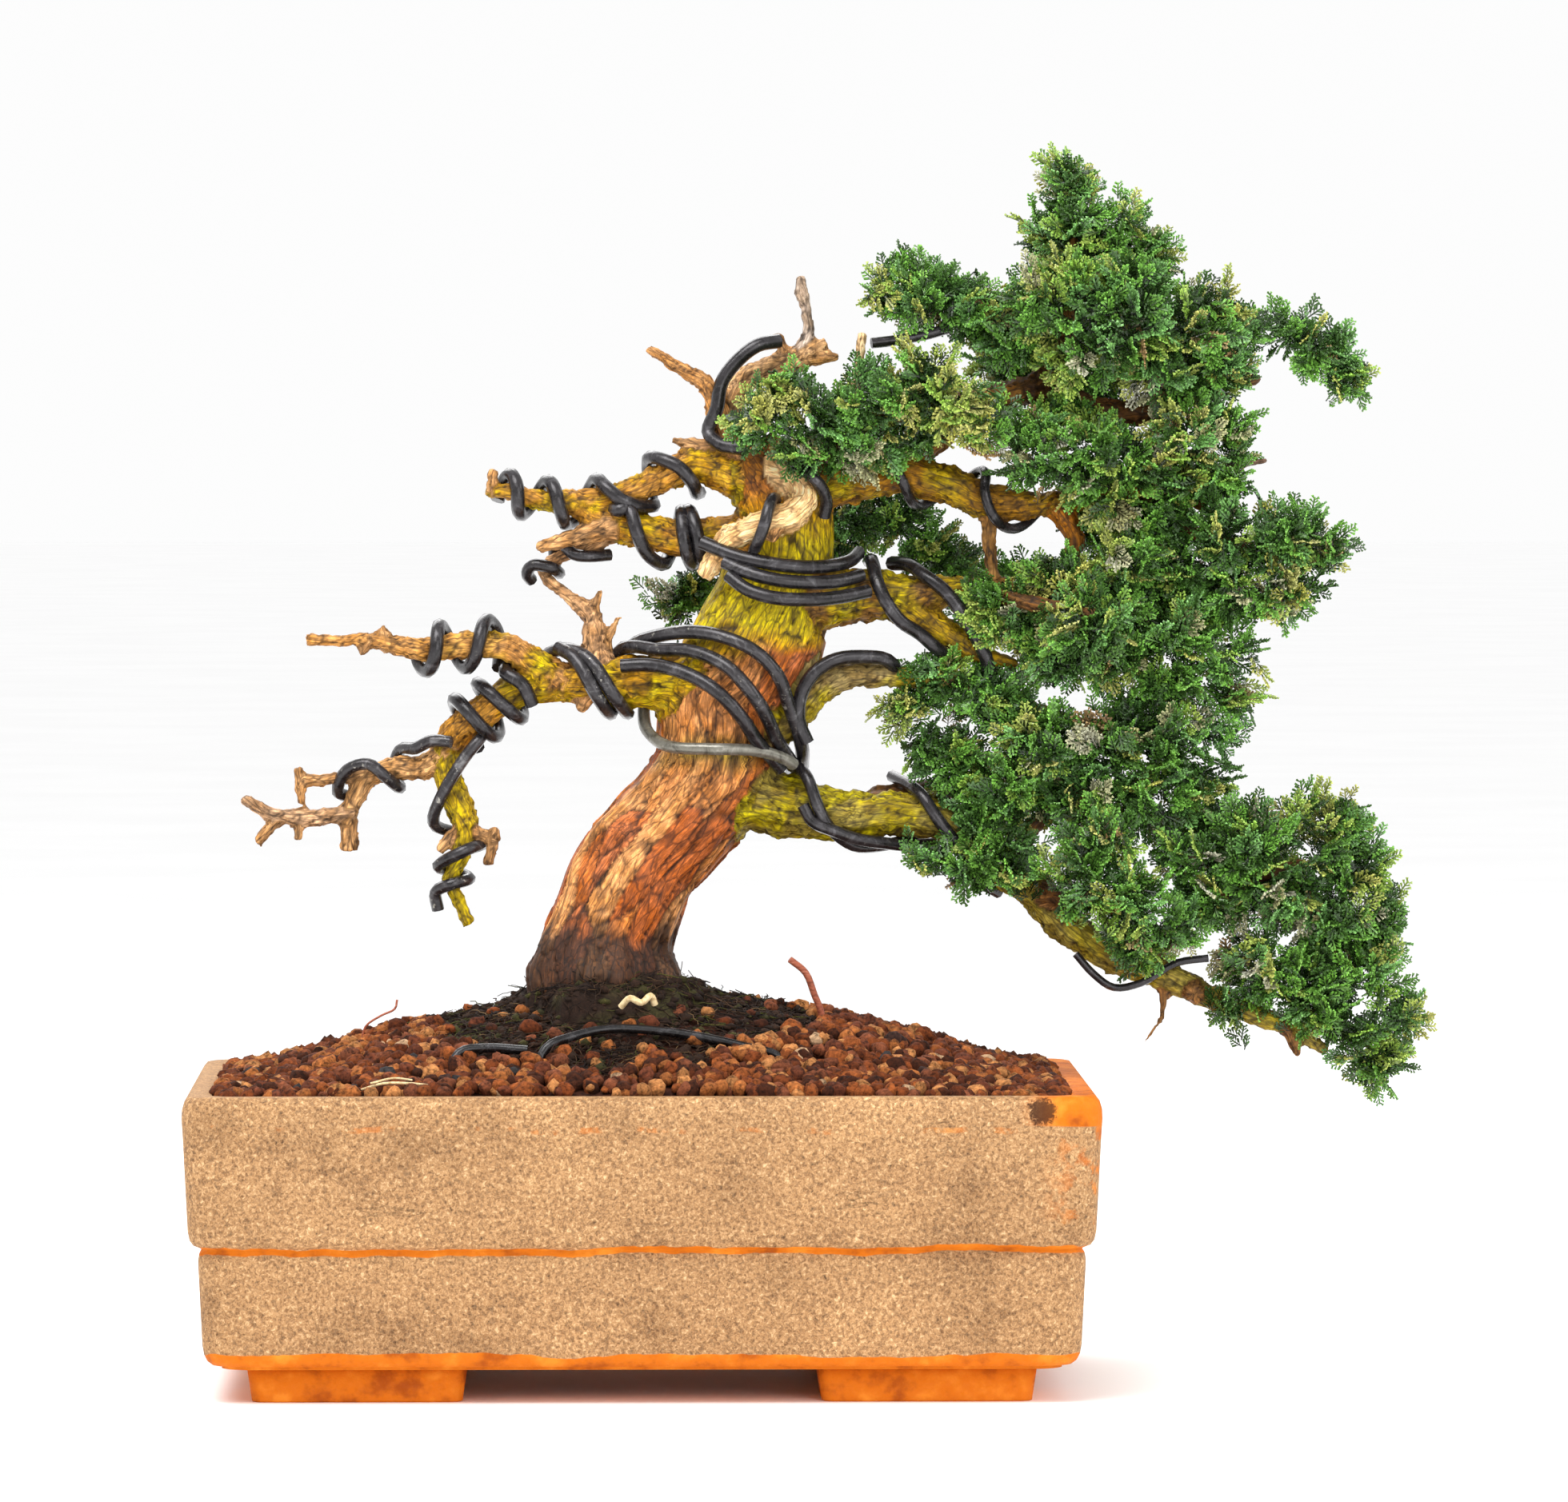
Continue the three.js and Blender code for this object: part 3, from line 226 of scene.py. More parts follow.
studio_floor()
middle = Vector((0, 0, 0.28))
soft_panel("overhead_panel", (-0.9, -1.1, 2.4), middle, (1.8, 1.4), 60)
soft_panel("front_panel", (1.0, -2.6, 0.9), middle, (1.6, 1.6), 22)
soft_panel("right_panel", (2.2, -0.4, 1.3), middle, (1.0, 1.4), 16)
soft_panel("back_panel", (-0.6, 2.0, 1.8), middle, (1.8, 1.4), 26)
world = bpy.data.worlds.new("even_surround")
bpy.context.scene.world = world
world.use_nodes = True
world.node_tree.nodes["Background"].inputs["Color"].default_value = linear("#FFFFFF")
world.node_tree.nodes["Background"].inputs["Strength"].default_value = 0.98

# %% [markdown]
# ## Shared mesh helpers
# A finished piece's object sits at the origin with its place in its mesh, rides on the one
# body, and stands for its CAD node.

# %% Mesh helpers
def finished(name, mesh, material, nodes, smooth=True):
    """Makes the piece's object from a bmesh or a mesh and ties it to the frame."""
    if isinstance(mesh, bmesh.types.BMesh):
        data = bpy.data.meshes.new(name)
        mesh.to_mesh(data)
        mesh.free()
    else:
        data = mesh
    data.name = name
    if smooth:
        data.polygons.foreach_set("use_smooth", [True] * len(data.polygons))
    data.materials.clear()
    data.materials.append(material)
    piece = bpy.data.objects.new(name, data)
    bpy.context.scene.collection.objects.link(piece)
    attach(piece, "root")
    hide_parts(*nodes)
    return piece


def node_copy(node):
    """A CAD node's mesh as a merged bmesh."""
    mesh = bmesh.new()
    mesh.from_mesh(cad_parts[node].data)
    bmesh.ops.remove_doubles(mesh, verts=mesh.verts, dist=0.02 * MM)
    return mesh


def settled(piece):
    """Applies a piece's modifiers to its mesh."""
    graph = bpy.context.evaluated_depsgraph_get()
    data = bpy.data.meshes.new_from_object(piece.evaluated_get(graph))
    piece.modifiers.clear()
    old = piece.data
    piece.data = data
    bpy.data.meshes.remove(old)
    return piece


def points_of(data):
    """A mesh's vertices as an array."""
    places = np.empty(len(data.vertices) * 3)
    data.vertices.foreach_get("co", places)
    return places.reshape(-1, 3)


def colour_layer(data, name, colours):
    """Stores one linear colour for each vertex."""
    layer = data.color_attributes.new(name, "FLOAT_COLOR", "POINT")
    layer.data.foreach_set("color", np.asarray(colours, dtype=np.float32).ravel())


COPY_SQUARE_SHARE = 0.88


def map_copies(data, base, corners, numbers, total):
    """Lays each copy flat in a square of its own on the piece's UV map, so that its colours can
    be stored without an unwrap of tens of thousands of tiny islands."""
    longest = np.argsort(-np.ptp(base, axis=0))[:2]
    flat = base[:, longest]
    flat = (flat - flat.min(0)) / np.ptp(flat, axis=0)
    across = math.ceil(math.sqrt(total))
    squares = np.stack([numbers % across, numbers // across], axis=1)[:, None]
    inside = (1 - COPY_SQUARE_SHARE) / 2 + COPY_SQUARE_SHARE * flat[corners.ravel()][None]
    layer = data.uv_layers.new(name="OFBake")
    layer.uv.foreach_set("vector", ((squares + inside) / across).astype(np.float32).ravel())


def scattered(template, matrices, tints, numbers=None, total=None):
    """One mesh of many copies of a small template mesh, each with its own tint. numbers and
    total place the copies on the map where several templates share one piece."""
    base = points_of(template)
    count = len(base)
    corners = np.array([list(face.vertices) for face in template.polygons], dtype=np.int64)
    size = corners.shape[1]
    turns = np.array([[list(row) for row in matrix] for matrix in matrices])
    moved = np.einsum("nij,vj->nvi", turns[:, :3, :3], base) + turns[:, None, :3, 3]
    faces = corners[None] + (np.arange(len(turns)) * count)[:, None, None]
    data = bpy.data.meshes.new("scattered")
    data.from_pydata(moved.reshape(-1, 3), [], faces.reshape(-1, size).tolist())
    colour_layer(data, "tint", np.repeat(np.asarray(tints), count, axis=0))
    if numbers is None:
        numbers = np.arange(len(turns))
    map_copies(data, base, corners, np.asarray(numbers), total or len(turns))
    return data


# %% [markdown]
# ## The pot
# A press-moulded, unglazed stoneware pot: a taller upper band stands a few millimetres proud
# of a lower one, and it stands on four block feet. One rounded block is drawn up through the
# profile's levels, its rim is inset, and the hollow is pushed down from it.

# %% Pot
RIM_WALL = 14
CORNER = 14


def rounded_block(width, depth, low, high, corner, segments):
    """A block about the pot's middle with rounded upright edges, in millimetres."""
    mesh = bmesh.new()
    bmesh.ops.create_cube(mesh, size=1)
    bmesh.ops.scale(mesh, vec=(width * MM, depth * MM, (high - low) * MM), verts=mesh.verts)
    bmesh.ops.translate(mesh, vec=place(0, 0, (low + high) / 2), verts=mesh.verts)
    upright = [e for e in mesh.edges if abs(e.verts[0].co.z - e.verts[1].co.z) > MM]
    bmesh.ops.bevel(mesh, geom=upright, offset=corner * MM, segments=segments, profile=0.5,
                    affect="EDGES", material=-1)
    return mesh


def top_face(mesh):
    return max(mesh.faces, key=lambda face: (face.calc_center_median().z, face.calc_area()))


def draw_to(mesh, face, width, depth, height):
    """Extrudes a level face and brings its outline to a width, depth and height."""
    raised = bmesh.ops.extrude_discrete_faces(mesh, faces=[face])["faces"][0]
    return level_to(raised, width, depth, height)


def level_to(face, width, depth, height):
    corners = [v.co for v in face.verts]
    half_x = max(c.x for c in corners) - POT_MIDDLE_X
    half_y = max(c.y for c in corners) - POT_MIDDLE_Y
    move_x = width * MM / 2 - half_x
    move_y = depth * MM / 2 - half_y
    for vertex in face.verts:
        vertex.co.x += move_x * math.copysign(1, vertex.co.x - POT_MIDDLE_X)
        vertex.co.y += move_y * math.copysign(1, vertex.co.y - POT_MIDDLE_Y)
        vertex.co.z = height * MM
    return face


POT_LEVELS = [
    (374, 264, 16.3), (378.4, 268.4, 18.2), (381, 271, 21), (382.4, 272.4, 25), (385.6, 275.6, 58),
    (385.9, 275.9, 62), (385, 275, 65), (382.6, 272.6, 67), (385.6, 275.6, 67.8), (390, 280, 68.8),
    (393, 283, 71), (394.6, 284.6, 75), (398.6, 288.6, 116), (399.6, 289.6, 124), (399.2, 289.2, 128),
    (397.2, 287.2, 131.6), (394, 284, 133.6), (390.5, 280.5, 134), (379, 269, 134), (375, 265, 133.2),
    (372.6, 262.6, 130.5), (366, 256, 69), (350, 240, 27.5),
]
FOOT_AT_X = 124
FOOT_AT_Y = 90


def build_feet(material):
    """Four flared feet under the pot's floor, as one piece."""
    feet = bmesh.new()
    for side in (-1, 1):
        for front in (-1, 1):
            foot = rounded_block(92, 65, 0, 1.5, 6, 5)
            bmesh.ops.translate(foot, vec=(side * FOOT_AT_X * MM, front * FOOT_AT_Y * MM, 0), verts=foot.verts)
            edges = [e for e in foot.edges if e.verts[0].co.z < MM / 2 and e.verts[1].co.z < MM / 2]
            bmesh.ops.bevel(foot, geom=edges, offset=0.9 * MM, segments=2, profile=0.5,
                            affect="EDGES", material=-1)
            rise = bmesh.ops.extrude_discrete_faces(foot, faces=[top_face(foot)])["faces"][0]
            for vertex in rise.verts:
                out_x = vertex.co.x - POT_MIDDLE_X - side * FOOT_AT_X * MM
                out_y = vertex.co.y - POT_MIDDLE_Y - front * FOOT_AT_Y * MM
                vertex.co += Vector((math.copysign(2 * MM, out_x), math.copysign(2 * MM, out_y), 13.9 * MM))
            data = bpy.data.meshes.new("foot")
            foot.to_mesh(data)
            feet.from_mesh(data)
            foot.free()
    bmesh.ops.recalc_face_normals(feet, faces=feet.faces)
    return finished("pot_feet", feet, material, ["pot"])


def build_pot(material):
    body = rounded_block(366, 256, 14.6, 15.8, CORNER, 8)
    face = top_face(body)
    for width, depth, height in POT_LEVELS:
        face = draw_to(body, face, width, depth, height)
    bmesh.ops.recalc_face_normals(body, faces=body.faces)
    pot = finished("stoneware_pot", body, material, ["pot"])
    cutters = bmesh.new()
    holes = [(-92, 0, 17), (92, 0, 17)] + [(x, y, 4.5) for x in (-40, 40) for y in (-45, 45)]
    for x, y, radius in holes:
        bmesh.ops.create_cone(cutters, cap_ends=True, segments=32, radius1=radius * MM,
                              radius2=radius * MM, depth=30 * MM,
                              matrix=Matrix.Translation(place(x, y, 21)))
    data = bpy.data.meshes.new("hole_cutters")
    cutters.to_mesh(data)
    cutters.free()
    cutter = bpy.data.objects.new("hole_cutters", data)
    bpy.context.scene.collection.objects.link(cutter)
    cut = pot.modifiers.new("holes", "BOOLEAN")
    cut.operation = "DIFFERENCE"
    cut.object = cutter
    bpy.context.view_layer.update()
    settled(pot)
    bpy.data.objects.remove(cutter)
    return pot


# %% [markdown]
# ## Unglazed stoneware
# Fired clay with a dusty tan slip. The slip is a fine scribble of pale grains over brown, and it
# is worn to bare orange clay on the feet, along the bottom edge, at the step and at one corner.

# %% Stoneware material
def near_height(material, height, low_mm, high_mm):
    """1 between two heights, fading over 2 mm at each end."""
    rise = add_node(material, "ShaderNodeMapRange", [("Value", height)], interpolation_type="SMOOTHSTEP")
    rise.inputs["From Min"].default_value = (low_mm - 2) * MM
    rise.inputs["From Max"].default_value = low_mm * MM
    fall = add_node(material, "ShaderNodeMapRange", [("Value", height)], interpolation_type="SMOOTHSTEP")
    fall.inputs["From Min"].default_value = high_mm * MM
    fall.inputs["From Max"].default_value = (high_mm + 2) * MM
    fall.inputs["To Min"].default_value = 1
    fall.inputs["To Max"].default_value = 0
    return sums(material, "MULTIPLY", rise.outputs["Result"], fall.outputs["Result"])


def stoneware():
    """Unglazed slip-coated stoneware: dead matt, grainy, tan with bare orange clay at the wear."""
    material, shader = new_material("unglazed_slipped_stoneware")
    point = object_point(material)
    split = add_node(material, "ShaderNodeSeparateXYZ", [("Vector", point)])
    height = split.outputs["Z"]
    grain = cloudy(material, point, 1.7, 6, 0.75, 0.6)
    scribble = cells(material, stretched(material, point, (1, 1, 1), (0.3, 0.5, 0.2)), 1.7,
                     "DISTANCE_TO_EDGE").outputs["Distance"]
    patches = cloudy(material, point, 46, 4, 0.6)
    slip = colour_steps(material, grain, (0.3, "#4A3624"), (0.43, "#937150"), (0.54, "#C29B70"),
                        (0.68, "#FBDDB4"))
    shade = colour_steps(material, patches, (0.3, "#BDAC98"), (0.5, "#E2D4C2"), (0.72, "#FAEEDC"))
    slip = blend_colours(material, 0.85, slip, shade, "MULTIPLY")
    fleck = colour_steps(material, scribble, (0.0, "#FFFFFF"), (0.16, "#000000"))
    slip = blend_colours(material, sums(material, "MULTIPLY", fleck, 0.16), slip, linear("#CFAE84"))
    bare = colour_steps(material, cloudy(material, point, 14, 5), (0.3, "#A34C06"), (0.5, "#D06E0C"),
                        (0.75, "#E68C28"))
    ragged = sums(material, "MULTIPLY", sums(material, "SUBTRACT", patches, 0.5), 9 * MM)
    worn_height = sums(material, "ADD", height, ragged)
    worn = near_height(material, worn_height, -5, 18)
    for low, high in ((19, 20.5), (66.6, 67.6)):
        worn = sums(material, "MAXIMUM", worn, near_height(material, worn_height, low, high))
    corner = add_node(material, "ShaderNodeMapRange", [("Value", split.outputs["X"])])
    corner.inputs["From Min"].default_value = POT_MIDDLE_X + 150 * MM
    corner.inputs["From Max"].default_value = POT_MIDDLE_X + 196 * MM
    high_band = near_height(material, height, 122, 140)
    corner_wear = sums(material, "MULTIPLY", corner.outputs["Result"], high_band)
    side_streak = sums(material, "MULTIPLY", near_height(material, height, 78, 136), corner.outputs["Result"])
    broken = colour_steps(material, cloudy(material, point, 20, 5, 0.65), (0.42, "#000000"), (0.6, "#FFFFFF"))
    streak = near_height(material, worn_height, 119, 120.5)
    patchy = sums(material, "MAXIMUM", sums(material, "MULTIPLY", side_streak, 0.6),
                  sums(material, "MULTIPLY", streak, 0.45))
    worn = sums(material, "MAXIMUM", worn, sums(material, "MAXIMUM", corner_wear,
                                                sums(material, "MULTIPLY", patchy, broken)))
    strength = colour_steps(material, worn, (0.25, "#000000"), (0.7, "#FFFFFF"))
    base = blend_colours(material, strength, slip, bare)
    crack_warp = cloudy(material, stretched(material, point, (0.25, 1, 1)), 10, 3)
    cracks = colour_steps(material, crack_warp, (0.488, "#FFFFFF"), (0.5, "#000000"), (0.512, "#FFFFFF"))
    rare = colour_steps(material, cloudy(material, point, 60, 2), (0.6, "#FFFFFF"), (0.72, "#000000"))
    cracks = blend_colours(material, 1.0, cracks, rare, "LIGHTEN")
    base = blend_colours(material, 0.55, base, cracks, "MULTIPLY")
    stain_at = add_node(material, "ShaderNodeCombineXYZ", X=POT_MIDDLE_X + 173 * MM, Y=-145 * MM, Z=128 * MM)
    stain = add_node(material, "ShaderNodeVectorMath", [(0, point), (1, stain_at.outputs["Vector"])],
                     operation="DISTANCE").outputs["Value"]
    stain = sums(material, "ADD", stain, sums(material, "MULTIPLY", grain, 12 * MM))
    stain = colour_steps(material, sums(material, "MULTIPLY", stain, 50), (0.52, "#33241A"), (0.66, "#FFFFFF"))
    base = blend_colours(material, 0.85, base, stain, "MULTIPLY")
    link(material, base, shader.inputs["Base Color"])
    shader.inputs["Specular IOR Level"].default_value = 0.2
    rough = colour_steps(material, grain, (0.3, "#C8C8C8"), (0.7, "#F2F2F2"))
    link(material, rough, shader.inputs["Roughness"])
    first = relief(material, shader, grain, 0.5, 0.55)
    relief(material, shader, patches, 1.2, 0.3, first)
    return material


clay = stoneware()
pot = build_pot(clay)
feet = build_feet(clay)
print("pot faces", len(pot.data.polygons))

# %% [markdown]
# ## Drainage mesh and its clips
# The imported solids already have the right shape, so they stay and get their finishes: moulded
# polyethylene for the mesh, and drawn wire for the clips.

# %% Drainage pieces
def moulded_plastic():
    """Injection-moulded polyethylene: near black with a faint waxy haze."""
    material, shader = new_material("moulded_polyethylene")
    point = object_point(material)
    tone = colour_steps(material, cloudy(material, point, 4), (0.3, "#171A19"), (0.7, "#252A28"))
    link(material, tone, shader.inputs["Base Color"])
    shader.inputs["Roughness"].default_value = 0.5
    relief(material, shader, cloudy(material, point, 0.8), 0.1, 0.3)
    return material


def wire_metal(name, dark, mid, pale, scale_share):
    """Drawn and anodised aluminium wire: satin, scuffed paler along its length."""
    material, shader = new_material(name)
    point = object_point(material)
    scuff = cloudy(material, point, 9, 6, 0.7, 1.2)
    tone = colour_steps(material, scuff, (0.32, dark), (0.52, mid), (0.74, pale))
    crust = colour_steps(material, cloudy(material, point, 3.2, 5, 0.7), (0.6, "#000000"), (0.68, "#FFFFFF"))
    tone = blend_colours(material, sums(material, "MULTIPLY", crust, scale_share), tone, linear("#A8A49A"))
    link(material, tone, shader.inputs["Base Color"])
    shader.inputs["Metallic"].default_value = 0.35
    rough = colour_steps(material, scuff, (0.3, "#565656"), (0.7, "#8C8C8C"))
    link(material, rough, shader.inputs["Roughness"])
    relief(material, shader, cloudy(material, point, 1.6, 5, 0.7), 0.25, 0.5)
    return material


plastic = moulded_plastic()
clip_wire = wire_metal("drawn_bright_wire", "#6E7072", "#8F9192", "#B5B6B5", 0.1)
for side in ("left", "right"):
    for node, material in ((f"drain_mesh_{side}", plastic), (f"mesh_clip_{side}", clip_wire)):
        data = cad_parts[node].data
        data.materials.clear()
        data.materials.append(material)
print("drainage pieces keep their packed shape")

# %% [markdown]
# ## Soil granules
# The soil is fired clay granules of 6 to 9 mm, heaped from the rim to the root ball. A few
# lumpy stones, each an uneven ball of a few dozen faces, are strewn over the heap with a
# seeded random draw.

# %% Soil
def granule_clay():
    """Low-fired clay granules: dusty red-brown, dead matt, each a little different."""
    material, shader = new_material("low_fired_clay_granules")
    point = object_point(material)
    tint = add_node(material, "ShaderNodeVertexColor", layer_name="tint").outputs["Color"]
    dust = colour_steps(material, cloudy(material, point, 2.4, 6, 0.7), (0.38, "#161616"), (0.5, "#BEBEBE"),
                        (0.64, "#FFFFFF"))
    base = blend_colours(material, 0.8, tint, dust, "MULTIPLY")
    link(material, base, shader.inputs["Base Color"])
    shader.inputs["Roughness"].default_value = 0.95
    shader.inputs["Specular IOR Level"].default_value = 0.2
    relief(material, shader, cloudy(material, point, 1.3, 5, 0.7), 0.6, 0.8)
    return material


def lumpy_stone(random, subdivisions=2):
    """A template granule of about 1 mm half width."""
    mesh = bmesh.new()
    bmesh.ops.create_icosphere(mesh, subdivisions=subdivisions, radius=MM)
    shift = Vector(random.uniform(0, 50, 3))
    for vertex in mesh.verts:
        bump = noise.noise(vertex.co / MM * 1.1 + shift)
        corner = noise.noise(vertex.co / MM * 2.3 + shift)
        vertex.co *= 1 + 0.42 * bump + 0.34 * corner
    data = bpy.data.meshes.new("stone_template")
    mesh.to_mesh(data)
    mesh.free()
    return data


SOIL_HALF_X = 184
SOIL_HALF_Y = 129
GRANULES = 3400
granule_colours = [linear(c) for c in ("#9C5428", "#6B3418", "#B26A36", "#84431F", "#C8864E", "#4C2614",
                                       "#874C31", "#723C26")]
odd_colours = [linear(c) for c in ("#3E3A3A", "#C9A27C", "#4A3028")]


def in_root_patch(x, y):
    """Whether a place on the heap is in the patch where matted roots lie over the soil."""
    edge = 0.22 * noise.noise(Vector((x / 22, y / 22, 3)))
    return math.hypot((x + 10) / 84, (y + 6) / 92) < 1 + edge


def surface_finder(node):
    mesh = node_copy(node)
    tree = BVHTree.FromBMesh(mesh)
    mesh.free()
    return tree


soil_tree = surface_finder("soil")
root_tree = surface_finder("root_ball")


def granules(name, random, count, keep_front):
    """Strews granules on the heap's front or back half."""
    stone = lumpy_stone(random)
    matrices, tints = [], []
    while len(matrices) < count:
        x = random.uniform(-SOIL_HALF_X, SOIL_HALF_X)
        y = random.uniform(-SOIL_HALF_Y, 0 if keep_front else SOIL_HALF_Y)
        if not keep_front and y < 0:
            continue
        start = place(x, y, 260)
        ground = soil_tree.ray_cast(start, Vector((0, 0, -1)))
        roots = root_tree.ray_cast(start, Vector((0, 0, -1)))
        if ground[0] is None or ground[0].z < 0.1:
            continue
        if roots[0] is not None and roots[0].z > ground[0].z + 1 * MM:
            continue
        if in_root_patch(x, y) and random.random() > 0.06:
            continue
        half = float(np.clip(random.normal(3.5, 0.75), 2.0, 5.4))
        lift = random.uniform(-1.2, 1.4)
        turn = Matrix.Rotation(random.uniform(0, 6.28), 4, Vector(random.normal(size=3)).normalized())
        shape = Matrix.Diagonal((half * random.uniform(0.9, 1.2), half * random.uniform(0.75, 1.1),
                                 half * random.uniform(0.7, 0.95), 1))
        matrices.append(Matrix.Translation(ground[0] + Vector((0, 0, lift * MM))) @ turn @ shape)
        odd = random.random() < 0.02
        palette = odd_colours if odd else granule_colours
        tint = np.array(palette[random.integers(len(palette))]) * random.uniform(0.75, 1.2)
        tints.append([*tint[:3], 1])
    data = scattered(stone, matrices, tints)
    piece = finished(name, data, granule_material, ["soil"])
    return piece


granule_material = granule_clay()
bed = node_copy("soil")
bmesh.ops.recalc_face_normals(bed, faces=bed.faces)
for vertex in bed.verts:
    if vertex.co.z > 100 * MM:
        vertex.co.z -= 2.5 * MM
bed_data = bpy.data.meshes.new("soil_bed")
bed.to_mesh(bed_data)
bed.free()
# The bed's dark tint is painted shade in the gaps between the granules.
colour_layer(bed_data, "tint", [linear("#4A2618")] * len(bed_data.vertices))
finished("soil_bed", bed_data, granule_material, ["soil"], smooth=False)
draw = np.random.default_rng(11)
front_granules = granules("soil_granules_front", draw, GRANULES // 2 + 200, True)
back_granules = granules("soil_granules_back", draw, GRANULES // 2 - 200, False)
print("granules", GRANULES, "faces", len(front_granules.data.polygons))

# %% [markdown]
# ## The wood's centre lines
# The tree is one grown piece. These lines run through the trunk and each branch, as the packed
# solid's do, so that bark can follow the growth and each wire can wind around its branch. Each
# point is x, y and z about the pot's middle, and the radius there, in millimetres.

# %% Centre lines
trunk = [
    [-17, 0, 150, 33], [-17, 0, 181, 35], [-15, 0, 198, 28.5], [-8, 0, 215, 28], [1, 0, 232, 27],
    [18, 0, 249, 27], [33, 0, 268, 29.5], [36, 0, 286, 30], [37, 0, 302, 31], [47, 0, 317, 30],
    [55, 1, 333, 29], [61, 2, 350, 26], [64, 2, 368, 23.5], [64, 2, 386, 22], [59, 1, 400, 20],
    [48, 0, 413, 14],
]

# dead and bare branches on the left
low_left = [
    [34, -4, 308, 22], [16, -6, 311, 15], [0, -7, 310.5, 11.5], [-21, -8, 311, 10.5],
    [-39, -8, 310.5, 9.5], [-46, -8, 310, 8],
]
upper_fork = [
    [-36, -8, 311, 9], [-48, -10, 319, 8], [-60, -12, 327, 7], [-78, -14, 327, 6.5],
    [-97, -16, 325, 6], [-109, -17, 327, 5], [-123, -18, 330, 3.5], [-135, -18, 329, 3],
    [-148, -18, 330, 3.5],
]
lower_fork = [
    [-38, -8, 311, 9], [-57, -6, 306, 8.5], [-68, -5, 298, 8.5], [-80, -4, 290, 8], [-88, -3, 279, 7],
]
claw_arm = [
    [-85, -3, 279, 7], [-97, -1, 272, 6], [-111, 1, 272, 5.5], [-121, 2, 268, 5], [-127, 3, 259, 5],
    [-131, 3, 249, 4.5],
]
claw_finger = [
    [-128, 3, 252, 4], [-142, 2, 250, 4.5], [-155, 1, 250, 4.5], [-164, 0, 251, 4], [-177, -1, 259, 3.2],
]
drooping_arm = [
    [-87, -3, 280, 7], [-85, -5, 267, 6.5], [-82, -7, 259, 7], [-78, -8, 249, 6.5], [-77, -8, 242, 5.5],
    [-80, -8, 233, 4.5], [-85, -7, 223, 4], [-82, -6, 215, 3.5], [-76, -5, 202, 3.5],
]
hooked_twig = [
    [-19, -4, 318, 9], [-20, -2, 330, 6.5], [-22, 0, 341, 5], [-31, 2, 348, 3.5], [-41, 4, 355, 3.5],
    [-44, 6, 361, 3.5], [-36, 6, 366, 3.5], [-25, 5, 369, 4], [-11, 3, 376, 4],
]
high_left = [
    [44, 0, 403, 13], [33, 0, 406, 10], [22, 0, 407, 8], [10, 0, 401, 7], [-4, 0, 395, 6.5],
    [-15, 0, 390, 7], [-29, 0, 390, 6.5], [-45, -1, 391, 5], [-58, -2, 395, 4], [-67, -2, 396, 3.5],
]
loop_arm = [
    [50, -2, 374, 12], [37, -3, 376, 9], [25, -3, 375, 8.5], [18, -3, 374, 8.5], [2, -2, 377, 9],
    [-13, -1, 381, 8], [-26, 0, 387, 6],
]
peeled_stub = [
    [60, -8, 405, 7], [71, -19, 399, 6.5], [73, -24, 391, 6.5], [66, -29, 384, 7], [53, -29, 380, 7],
    [40, -23, 375, 6.5], [33, -18, 366, 5.5], [28, -17, 357, 4.5],
]
top_left_jin = [
    [46, 0, 408, 11], [40, 0, 416, 7], [35, 0, 427, 5.5], [33, 0, 436, 5], [28, 1, 444, 4.5],
    [16, 2, 451, 3.2], [3, 3, 459, 2.8],
]
top_right_jin = [
    [44, 3, 412, 8], [40, 5, 424, 6], [42, 6, 437, 6], [48, 5, 446, 6.5], [60, 4, 450, 7],
    [71, 3, 454, 6.5], [83, 2, 462, 2.6],
]
top_spike = [
    [69, 3, 454, 3.5], [75, 3, 466, 3], [74, 3, 476, 2.8], [72, 3, 483, 4], [71, 3, 491, 2.6],
]

# living branches on the right, with the inner ones that carry the foliage
low_right = [
    [40, -2, 262, 20], [57, -4, 257, 15.5], [75, -6, 253, 13], [92, -8, 251, 11.5], [112, -10, 252, 10.5],
    [132, -10, 250, 10], [149, -10, 239, 10], [174, -10, 219, 9.5], [188, -10, 203, 9],
    [212, -10, 187, 8], [232, -10, 180, 7.5], [260, -11, 167, 6], [286, -12, 158, 4.5],
    [306, -12, 146, 3],
]
mid_right = [
    [50, -4, 290, 14], [66, -8, 292, 9], [75, -11, 303, 8], [84, -13, 311, 7.5], [96, -14, 314, 6.5],
    [114, -14, 313, 5.5], [142, -12, 309, 5], [170, -8, 300, 4], [200, -6, 290, 3.5], [228, -4, 285, 3],
]
shoulder_right = [
    [64, -2, 350, 18], [85, -4, 347, 14], [103, -5, 349, 12], [117, -6, 349, 10], [139, -7, 351, 7],
    [156, -7, 351, 6], [178, -7, 352, 6], [204, -6, 347, 5], [234, -5, 340, 4], [262, -4, 345, 3],
]
shoulder_fork = [[115, -6, 345, 9], [137, -8, 331, 7], [152, -9, 322, 5], [168, -10, 318, 3]]
high_right = [
    [64, 0, 396, 16], [82, -1, 400, 13], [100, -2, 401, 11], [116, -3, 404, 10], [137, -3, 398, 9.5],
    [155, -3, 390, 9], [176, -3, 389, 6.5], [200, -4, 392, 5], [232, -5, 396, 4], [252, -5, 388, 3],
]
cross_twig = [[156, -3, 388, 4], [155, -4, 372, 3.5], [157, -6, 353, 3.5]]
drop_twig = [[186, -5, 388, 6], [194, -5, 374, 5], [190, -6, 360, 5.5], [180, -7, 352, 5]]
